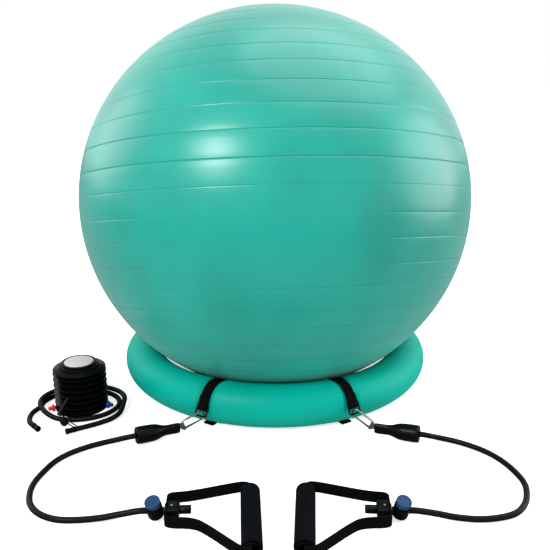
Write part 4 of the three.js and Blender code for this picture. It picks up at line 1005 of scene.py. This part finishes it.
class BALL_CHAIR_OT_hooks(bpy.types.Operator):
    """Models the plated snap hooks with their gates and pins"""
    bl_idname = "ball_chair.hooks"
    bl_label = "Snap hooks"

    def execute(self, context):
        gate_outline = arc(1.05, 90, 270, 20, (2.6, -6.2)) + arc(2.1, 250, 470, 20, GATE_PIVOT)
        for side in SIDES:
            place = side_frames(side)["hook"]
            body = plate(hook_outline(), HOOK_THICK, 0.9, 3)
            hook = side_piece(side, "hook", body, place, "plated zinc", "hook_body")
            cut(hook, block(*GATE_SLOT), place)
            gate = plate(gate_outline, GATE_THICK, 0.3)
            side_piece(side, "gate", gate, place, "plated zinc", "hook_gate", f"gate_{side}")
            pin = moved(turned(GATE_PIN, 24), shift(*GATE_PIVOT))
            side_piece(side, "pin", pin, place, "spring steel", "hook_pin")
        return {"FINISHED"}


def flattened(bm):
    """Narrows a turned piece sideways by the anchor's own shares"""
    for vert in bm.verts:
        z = max(0, min(ANCHOR_LENGTH, vert.co.z))
        for (z0, _, s0), (z1, _, s1) in zip(ANCHOR_STATIONS, ANCHOR_STATIONS[1:]):
            if z0 <= z <= z1:
                vert.co.y *= s0 + (s1 - s0) * (z - z0) / (z1 - z0)
                break
    return bm


class BALL_CHAIR_OT_anchors(bpy.types.Operator):
    """Models the woven sleeves that hold the tubes' ends, with their plugs"""
    bl_idname = "ball_chair.anchors"
    bl_label = "Tube anchors"

    def execute(self, context):
        skin = [(p.y, p.x) for p in route([(z, r, 0) for z, r, _ in ANCHOR_STATIONS], 3)]
        wall = [(min(r - SLEEVE_WALL, SLEEVE_BORE), z) for r, z in reversed(skin)]
        for side in SIDES:
            place = side_frames(side)["anchor"]
            sleeve = softened(flattened(woven(turned(skin + wall, 56))), 0.4, 2, 50)
            side_piece(side, "sleeve", sleeve, place, "sleeve cloth", "anchor_webbing")
            plug = flattened(turned(SLEEVE_PLUG))
            side_piece(side, "sleeve_plug", plug, place, "black plastic", "anchor_plug")
        return {"FINISHED"}


# Handles, locks and tubes

# Each leg of a handle as shares of its reach and of its spread
FAR_LEG = ((0, 0), (0.2, 0.07), (0.4, 0.35), (0.7, 0.88), (0.9, 1.2), (0.975, 1.1))
NEAR_LEG = ((0.97, 1), (0.88, 0.97), (0.78, 0.79), (0.63, 0.51), (0.48, 0.24), (0.34, 0.04), (0, 0))
# Width and thickness
HANDLE_WEBBING = (15, 2.2)
HOLDER = ((1.4, -11, -6.5), (15.4, 11, 6.5))
BASE_HALF = 25
# How far the loop's corners at the grip lie from its middle
GRIP_ENDS = (41.4, 83.4)
EYELET = ((4.5, -1.4), (4.5, -2), (4.8, -2.3), (5.5, -2.25), (7.4, -2.1), (8, -1.75), (8, -1.4))
RIVET = ((0, 5.4), (0.9, 5.4), (0.9, 6.8), (1.8, 6.8), (1.75, 7.05), (1.3, 7.45), (0.6, 7.6), (0, 7.62))
END_CAP = (
    (0, 29.7), (4.4, 29.7), (5.1, 29.3), (5.3, 28.7), (5.3, 16.2), (5, 15.7), (4.5, 15.7), (4.5, 27.7),
    (0, 27.7),
)
GRIP_CORE = (
    (8.3, -58.5), (8.6, -59), (9.3, -59), (9.6, -58.6), (9.6, 58.6), (9.3, 59), (8.6, 59), (8.3, 58.5),
)
# The foam between its rounded ends: half its length, its stations and how uneven it is
FOAM_BODY, FOAM_STEPS, FOAM_UNEVEN = 50, 18, 0.12
LOCK_BARREL = (
    (0, -10.5), (5.4, -10.5), (6.2, -10.3), (8.2, -9), (9.4, -7.6), (10, -5.8), (10, 5.4), (9.7, 5.8),
    (9.7, 6.4), (10, 6.8), (10, 9.5), (9.6, 10), (8.6, 10), (8.2, 9.7), (8.2, 6.6), (6.3, 6.6), (6.3, -9.5),
    (0, -9.5),
)
LOCK_BUTTON = (
    (0, -6.7), (6, -6.7), (6, 16), (8.2, 16), (8.2, 12.8), (9.1, 12.8), (9.6, 13.2), (9.6, 16.7), (9.3, 17.3),
    (8.7, 17.6), (7.4, 17.6), (7, 17.3), (6.4, 17.15), (0, 17.1),
)
BUTTON_SLOT = ((-8, -BORE, -5.34), (8, BORE, 7.84))
SPRING_FOOT = 6.9
SPRING_TOP = 15.7


def handle_line(hand):
    """The middle line of a handle's webbing, seen from above"""
    far, near = GRIP_ENDS
    corner = 0.03 * HANDLE_REACH
    line = [(u * HANDLE_REACH, BASE_HALF + v * (far - BASE_HALF)) for u, v in FAR_LEG]
    line += [(HANDLE_REACH, v) for v in (far - corner, 30, -30, corner - near)]
    line += [(u * HANDLE_REACH, -BASE_HALF - v * (near - BASE_HALF)) for u, v in NEAR_LEG]
    return [Vector((u, hand * v)) for u, v in (*line, (0, -12), (0, 12))]


class BALL_CHAIR_OT_handles(bpy.types.Operator):
    """Models the handles' webbing loops, blocks, eyelets, rivets and end caps"""
    bl_idname = "ball_chair.handles"
    bl_label = "Handles"

    def execute(self, context):
        for side in SIDES:
            place = tail_frame(side)
            along, riveted = place @ ALONG_X, place @ shift(RIVET_PLACE)
            loop = ribbon(rounded(handle_line(-SIDES[side])), *HANDLE_WEBBING, 0.35, closed=True)
            strap = side_piece(side, "handle_loop", loop, place @ LAY_FLAT, "nylon webbing", "handle_strap")
            cut(strap, rod(BORE, -4, 4), along)
            side_piece(side, "eyelet", turned(EYELET, 40), along, "plated zinc", "strap_eyelet")
            holder = side_piece(side, "holder", block(*HOLDER, 1.1), place, "black rubber", "strap_block")
            cut(holder, rod(BORE, 0, 18), along)
            cut(holder, rod(1.2, 5, 8, 16), riveted)
            side_piece(side, "rivet", turned(RIVET, 24), riveted, "spring steel", "block_rivet")
            side_piece(side, "end_cap", turned(END_CAP, 32), along, "black rubber", "tube_cap")
        return {"FINISHED"}


class BALL_CHAIR_OT_grips(bpy.types.Operator):
    """Models the turning grips: a plastic core with a foam sleeve"""
    bl_idname = "ball_chair.grips"
    bl_label = "Grips"

    def execute(self, context):
        outer = sizes().grip_diameter / MM / 2
        edge = [(9.9, 56), (outer - 1.1, 56), (outer - 0.4, 55.7), (outer - 0.05, 54.9), (outer, 53.6)]
        middle = [
            (outer - FOAM_UNEVEN * math.sin(k * 1.7) ** 2, -FOAM_BODY + 2 * FOAM_BODY * k / FOAM_STEPS)
            for k in range(FOAM_STEPS + 1)
        ]
        foam_line = [(r, -z) for r, z in edge] + middle + edge[::-1]
        for side in SIDES:
            place = tail_frame(side) @ shift(HANDLE_REACH, -SIDES[side] * GRIP_SHIFT) @ turn(90, "X")
            body = f"grip_{side}"
            side_piece(side, "core", turned(GRIP_CORE), place, "black plastic", "grip_core", body)
            foam = side_piece(side, "foam", turned(foam_line, 64), place, "cell foam", "grip_foam", body)
        return {"FINISHED"}


class BALL_CHAIR_OT_locks(bpy.types.Operator):
    """Models the tube locks: a black barrel with a blue spring button"""
    bl_idname = "ball_chair.locks"
    bl_label = "Tube locks"

    def execute(self, context):
        for side in SIDES:
            place = lock_frame(side)
            body = side_piece(side, "lock", turned(LOCK_BARREL, 56), place, "black plastic", "lock_body")
            cut(body, rod(BORE, -LOCK_STANDOFF - 20, 20 - LOCK_STANDOFF), tail_frame(side) @ ALONG_X)
            button = side_piece(
                side, "button", turned(LOCK_BUTTON, 64), place, "blue plastic button", "lock_button",
                f"release_{side}",
            )
            cut(button, block(*BUTTON_SLOT), place)
            coil = coil_of(7.35, 0.55, SPRING_FOOT, SPRING_TOP, 3)
            spring = side_piece(side, "button_spring", coil, place, "spring steel", "lock_spring")
            foot = place @ Vector((0, 0, SPRING_FOOT)) * MM
            axis = (place.to_3x3() @ UP).normalized()
            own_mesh(spring)
        return {"FINISHED"}


# Points on the floor: X, Y and the rise over it
TUBE_ROUTES = {
    "left": (
        (-232, -282.5, 1), (-252, -290.5, 0), (-272, -303, 0), (-291, -320, 0), (-303.5, -339, 0),
        (-311, -363, 0), (-315.5, -388, 0), (-314, -412, 0), (-305, -438, 0), (-288, -457, 0),
        (-264, -468, 0), (-238, -469, 0), (-212, -465.5, 0.3), (-188, -462.8, 3.5),
    ),
    "right": (
        (242, -277, 1), (262, -284.5, 0), (282, -298, 0), (300, -315.5, 0), (314, -338, 0), (323, -365, 0),
        (326.5, -390, 0), (322, -414, 0), (311, -438, 0), (294, -456, 0), (270, -465, 0), (245, -467.5, 0),
        (219, -464, 0.3), (195.5, -461.2, 3.5),
    ),
}
# Places of the tube's end along the handle
TUBE_STATIONS = (-31.823, -23.823, -13.823, 0, 13.7, 27.4)


def over_floor(spots, low):
    return [Vector((x, y, low + rise)) for x, y, rise in spots]


class BALL_CHAIR_OT_tubes(bpy.types.Operator):
    """Lays the two resistance tubes from their anchors, through the locks, into the handles' end caps"""
    bl_idname = "ball_chair.tubes"
    bl_label = "Resistance tubes"

    def execute(self, context):
        radius = sizes().tube_diameter / MM / 2
        for side in SIDES:
            frames = side_frames(side)
            end, axis, tail = frames["end"], frames["axis"], tail_frame(side)
            points = [end - axis * 2, end + axis * 8, *over_floor(TUBE_ROUTES[side], radius + FLOOR_GAP)]
            points += [tail @ Vector((x, 0, 0)) for x in TUBE_STATIONS]
            tube = wire(
                f"resistance_tube_{side}", route(points, 8), radius, "tube latex", "base", f"tube_{side}",
                round_steps=6,
            )
            tuple(end * MM)
        return {"FINISHED"}


# Foot pump

PUMP_BASE = (
    (0, 0), (39.3, 0), (40.6, 0.5), (41, 1.6), (41, 7.2), (40.5, 8.5), (39.3, 9), (38.4, 9), (38, 8.7),
    (0, 8.7),
)
NIPPLE = (
    (1.5, 42.6), (4.9, 42.6), (5.5, 42.9), (5.6, 43.6), (5.6, 45.6), (5.4, 46.3), (4.8, 46.6), (3.4, 46.8),
    (3, 48.4), (3.5, 48.7), (2.8, 50.4), (3.2, 50.7), (2.5, 52.3), (2.2, 52.6), (1.5, 52.6),
)
BELLOWS_FOOT = 9.3
BELLOWS_HEIGHT = 57
PLEATS = 6
PLEAT_STEPS = 14
PLEAT_VALLEY = 35
PLEAT_DEPTH = 6.5
PLEAT_WALL = 1.2
# How blunt a pleat's crest is, and how much its sides curve in
PLEAT_CREST, PLEAT_CURVE = 1.12, 1.15
PUMP_TOP = (
    (0, 66.6), (39.8, 66.6), (40.8, 66.9), (41, 67.5), (40.8, 68.1), (40.2, 68.4), (33.2, 70.4), (31.9, 71),
    (31.5, 71.8), (31.5, 73.5), (31.3, 74.1), (30.7, 74.4), (27.6, 74.4), (27.2, 74.6), (27, 75.1),
    (27, 77.4), (26.8, 78), (26.2, 78.2), (23.3, 78.2), (22.9, 78), (22.8, 77.6), (22.8, 76.2), (0, 76.2),
)
PUMP_PAD = ((0, 76.5), (22.4, 76.5), (22.5, 76.7), (22.5, 78), (22.3, 78.4), (21.8, 78.6), (0, 78.6))


class BALL_CHAIR_OT_pump(bpy.types.Operator):
    """Models the foot pump: base with two ports, bellows, spring, stepped top and pale pad"""
    bl_idname = "ball_chair.pump"
    bl_label = "Foot pump"

    def execute(self, context):
        place = shift(*PUMP_PLACE)
        ports = {name: turn(a, "Z") @ shift(z=PORT_HEIGHT) @ ALONG_X for name, a in PORTS.items()}
        necks = [moved(rod(2.6, 36, 42.3, 24), port) for port in ports.values()]
        piece("pump_foot", joined(turned(PUMP_BASE, 96), *necks), place, "black plastic", "base", "pump_base")
        for name, port in ports.items():
            nipple = turned(NIPPLE, 40)
            piece(f"nipple_{name}", nipple, place @ port, f"{name} plastic", "base", f"port_{name}")
        pleats, count = [], PLEATS * PLEAT_STEPS
        for k in range(count + 1):
            swell = min(1, PLEAT_CREST * (1 - abs(2 * (k / PLEAT_STEPS % 1) - 1))) ** PLEAT_CURVE
            pleats.append((PLEAT_VALLEY + PLEAT_DEPTH * swell, BELLOWS_FOOT + BELLOWS_HEIGHT * k / count))
        wall = [(r - PLEAT_WALL, z) for r, z in reversed(pleats)]
        bellows = piece("bellows", turned(pleats + wall, 96), place, "black plastic", "base", "pump_bellows")
        coil = coil_of(24, 1.3, BELLOWS_FOOT, BELLOWS_FOOT + BELLOWS_HEIGHT, 4, 32)
        spring = piece("pump_coil", coil, place, "spring steel", "base", "pump_spring")
        for soft in (bellows, spring):
            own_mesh(soft)
        piece("pump_head", turned(PUMP_TOP, 96), place, "black plastic", "foot_plate", "pump_top")
        piece("foot_pad", turned(PUMP_PAD, 72), place, "pad rubber", "foot_plate", "pump_pad")
        return {"FINISHED"}


MOUTH_ROUTE = ((-365, -240, 0.6), (-374, -230, 0.5), (-380, -214, 0), (-380.5, -196, 0))
NOZZLE_ROUTE = (
    (-243.5, -204, 2.4), (-253, -218, 0.6), (-267, -230, 0.3), (-284, -241.5, 0.5), (-299, -250.5, 0.6),
)
COIL_CENTRE = (-313, -169.5)
COIL_REACH = (62, 51)
COIL_FLARE = 10
COIL_LIFT = 8.8
COIL_START, COIL_STEP, COIL_POINTS = 188, 15, 38
# Where the coil flares out, climbs onto its own first turn and comes down again, in degrees
FLARE_SPAN, CLIMB_SPAN, DESCENT_SPAN = (-285, -375), (-105, -165), (-350, -395)
# Shares of the hose's radius along one rib
HOSE_RIB = (1, 0.985, 0.9, 0.93)
COUPLING = (
    (2.4, 0.2), (4.2, 0.2), (4.5, 0.6), (4.4, 1.5), (4.1, 2), (4.1, 10.4), (4.5, 10.9), (4.5, 14.5),
    (4.1, 15), (2.8, 15), (2.4, 14.6),
)
CONE = ((0.7, 0), (3.5, 0), (3.8, 0.4), (3.8, 4.4), (3.5, 5), (3.2, 5.3), (1.5, 28.3), (1.2, 28.9), (0.7, 29))
CONE_FOOT = Vector((-333, -217.8, 10.6))
CONE_TIP = Vector((-318.4, -207.2, 38))
CAP = (
    (0, -2.75), (5.2, -2.75), (6, -2.5), (6.3, -1.8), (6.3, 1.8), (6, 2.5), (5.2, 2.75), (3.6, 2.75),
    (3.2, 2.4), (0, 2.4),
)
CAP_PLACE = Vector((-321.5, -231.5, 6.4))
CAP_HEADING = -112
TETHER_RADIUS = 0.9
CONE_TETHER = (
    (-329.9, -220.8, 12.8), (-328.4, -223.4, 14.2), (-323, -229.5, 15.3), (-314, -235, 12.5),
    (-305.5, -239.3, 7.5), (-298.5, -241.6, 4.9), (-297, -244.2, 4.7),
)
CAP_TETHER = (
    (-315.4, -234, 6.4), (-311, -237, 4.4), (-305.5, -240.6, 3.6), (-301.5, -243.3, 4.6),
    (-299.9, -245.9, 4.8),
)


def eased(start, end, angle):
    """How far along a stretch between two angles a falling angle has come, from 0 to 1"""
    return smooth((start - angle) / (start - end))


def coil_point(angle, low):
    """A place of the hose on its loose coil round the pump's foot"""
    flare = COIL_FLARE * eased(*FLARE_SPAN, angle)
    lift = COIL_LIFT * (eased(*CLIMB_SPAN, angle) - eased(*DESCENT_SPAN, angle))
    x, y = ((reach + flare) * part for reach, part in zip(COIL_REACH, flat(angle)))
    return Vector((COIL_CENTRE[0] + x, COIL_CENTRE[1] + y, low + lift))


def spaced(line, step):
    """The same line with its points a fixed distance apart"""
    total = sum((b - a).length for a, b in zip(line, line[1:]))
    count = round(total / step)
    points, i, done = [], 0, 0.0
    for k in range(count + 1):
        goal = total * k / count
        while i < len(line) - 2 and done + (line[i + 1] - line[i]).length < goal:
            done += (line[i + 1] - line[i]).length
            i += 1
        span = (line[i + 1] - line[i]).length
        points.append(line[i].lerp(line[i + 1], min(1, (goal - done) / span)))
    return points


class BALL_CHAIR_OT_hose(bpy.types.Operator):
    """Coils the pump's hose round its foot, with the couplings, the cone nozzle, its cap and their tethers"""
    bl_idname = "ball_chair.hose"
    bl_label = "Pump hose"

    def execute(self, context):
        diameter = sizes().hose_diameter
        low = diameter / MM / 2 + FLOOR_GAP
        points = over_floor(MOUTH_ROUTE, low)
        points += [coil_point(COIL_START - COIL_STEP * k, low) for k in range(COIL_POINTS)]
        points += over_floor(NOZZLE_ROUTE, low)
        line = spaced(route(points, 10), sizes().hose_rib_pitch / MM / len(HOSE_RIB))
        radii = [HOSE_RIB[i % len(HOSE_RIB)] for i in range(len(line))]
        hose = wire(
            "hose", line, diameter / MM / 2, "black rubber", "base", "pump_hose", radii=radii, round_steps=5,
        )
        for name, profile, steps, place, ahead, finish, kind in (
            ("coupling_a", COUPLING, 40, line[0], line[0] - line[3], "black plastic", "hose"),
            ("coupling_b", COUPLING, 40, line[-1], line[-1] - line[-4], "black plastic", "hose"),
            ("cone", CONE, 32, CONE_FOOT, CONE_TIP - CONE_FOOT, "black rubber", "nozzle"),
            ("cap", CAP, 40, CAP_PLACE, flat(CAP_HEADING), "black rubber", "nozzle"),
        ):
            where = frame_along(place, ahead)
            piece(name, turned(profile, steps), where, finish, "base", f"{kind}_{name}")
        cone_line, cap_line = route(CONE_TETHER), route(CAP_TETHER)
        long_tether = wire("cone_tether", cone_line, TETHER_RADIUS, "black rubber", "base", "tether_cone")
        short_tether = wire("cap_tether", cap_line, TETHER_RADIUS, "black rubber", "base", "tether_cap")
        tuple(line[0] * MM)
        tuple(cone_line[-1] * MM)
        return {"FINISHED"}


# Stage

CAMERA_PLACE = (0, -1.2, 0.533)
CAMERA_TILT = 73.2
SENSOR_WIDTH = 36
LENS = 46.34
CLIP_END = 200
# Name, place, aim, size and power of each lamp
LAMPS = (
    ("key", (-1.08, -1.57, 1.58), (0, 0, 0.303), 0.6, 29),
    ("top", (0.7, 0.2, 2.6), (0, 0, 0.3), 2.8, 42),
    ("right", (2.4, 0.2, 0.85), (0, 0, 0.3), 2.0, 32),
    ("left", (-2.3, 0.8, 1.1), (0, 0, 0.3), 1.6, 12),
)
WHITE = (1, 1, 1, 1)
FLOOR_DROP = 0.0002


def ray_kinds(f):
    """1 for the rays that look at a place, mirror it or go through to it"""
    node = f.add("ShaderNodeLightPath").socket.node
    return [Value(f, node.outputs[f"Is {kind} Ray"]) for kind in ("Camera", "Glossy", "Transmission")]


class BALL_CHAIR_OT_stage(bpy.types.Operator):
    """Sets up the camera, a plain white floor and soft studio light"""
    bl_idname = "ball_chair.stage"
    bl_label = "Studio"

    def execute(self, context):
        scene = context.scene
        scene.view_settings.view_transform = "Standard"
        scene.camera = added("studio camera", bpy.data.cameras.new("studio camera"))
        scene.camera.data.sensor_width, scene.camera.data.lens = SENSOR_WIDTH, LENS
        scene.camera.data.clip_end = CLIP_END
        scene.camera.location = CAMERA_PLACE
        scene.camera.rotation_euler = (rad(CAMERA_TILT), 0, 0)

        bm = bmesh.new()
        bmesh.ops.create_grid(bm, x_segments=1, y_segments=1, size=sizes().floor_size / 2)
        floor = added("studio_floor", mesh_of("studio_floor", bm))
        floor.location.z = -FLOOR_DROP
        floor.data.materials.append(self.floor_paint())
        scene.world = self.surroundings()
        for name, place, aim, size, power in LAMPS:
            data = bpy.data.lights.new(name, "AREA")
            data.shape, data.size, data.energy = "DISK", size, power
            lamp = added(name, data)
            lamp.location = place
            lamp.rotation_euler = (Vector(aim) - Vector(place)).to_track_quat("-Z", "Y").to_euler()
        return {"FINISHED"}

    def floor_paint(self):
        """A pale floor that looks white and mirrors dark"""
        f = Finish("studio floor")
        looked_at, mirrored, _ = ray_kinds(f)
        shade = f.mix(mirrored, (0.85, 0.85, 0.85), (0.25, 0.25, 0.25))
        cloth = f.add("ShaderNodeBsdfDiffuse", None, {"Color": shade})
        white = f.add("ShaderNodeEmission", None, {"Color": WHITE, "Strength": looked_at * 0.7})
        f.shown(f.add("ShaderNodeAddShader", None, {0: cloth, 1: white}))
        return f.owner

    def surroundings(self):
        """A dim world that looks white, also in a mirror"""
        f = Finish("studio", "worlds")
        looked_at, mirrored, through = ray_kinds(f)
        seen = looked_at.math("MAXIMUM", looked_at, mirrored.math("MAXIMUM", mirrored, through))
        dim = f.add("ShaderNodeBackground", None, {"Color": WHITE, "Strength": 0.5})
        white = f.add("ShaderNodeBackground", None, {"Color": WHITE, "Strength": 1.0})
        f.shown(f.add("ShaderNodeMixShader", None, {0: seen, 1: dim, 2: white}), "World")
        return f.owner


class BALL_CHAIR_PT_panel(bpy.types.Panel):
    """Lists the ball chair's pieces, sizes and colours"""
    bl_idname = "BALL_CHAIR_PT_panel"
    bl_label = "Balance Ball Chair"
    bl_space_type = "VIEW_3D"
    bl_region_type = "UI"
    bl_category = "Ball Chair"

    def draw(self, context):
        for group in (context.scene.ball_chair_sizes, context.scene.ball_chair_colours):
            box = self.layout.box()
            for name in group.bl_rna.properties.keys():
                if name not in ("rna_type", "name"):
                    box.prop(group, name)
        for step in STEPS:
            self.layout.operator(step.bl_idname)


STEPS = (
    BALL_CHAIR_OT_stage,
    BALL_CHAIR_OT_tubes,
    BALL_CHAIR_OT_hose,
    BALL_CHAIR_OT_ball,
    BALL_CHAIR_OT_ring,
    BALL_CHAIR_OT_bands,
    BALL_CHAIR_OT_d_rings,
    BALL_CHAIR_OT_hooks,
    BALL_CHAIR_OT_anchors,
    BALL_CHAIR_OT_locks,
    BALL_CHAIR_OT_handles,
    BALL_CHAIR_OT_grips,
    BALL_CHAIR_OT_pump,
)
CLASSES = (BallChairSizes, BallChairColours, *STEPS, BALL_CHAIR_PT_panel)


def register():
    for item in CLASSES:
        bpy.utils.register_class(item)
    bpy.types.Scene.ball_chair_sizes = bpy.props.PointerProperty(type=BallChairSizes)
    bpy.types.Scene.ball_chair_colours = bpy.props.PointerProperty(type=BallChairColours)


def unregister():
    del bpy.types.Scene.ball_chair_sizes
    del bpy.types.Scene.ball_chair_colours
    for item in reversed(CLASSES):
        bpy.utils.unregister_class(item)


def main():
    register()
    for step in STEPS:
        getattr(bpy.ops.ball_chair, step.bl_idname.split(".")[1])()


if __name__ == "__main__":
    main()
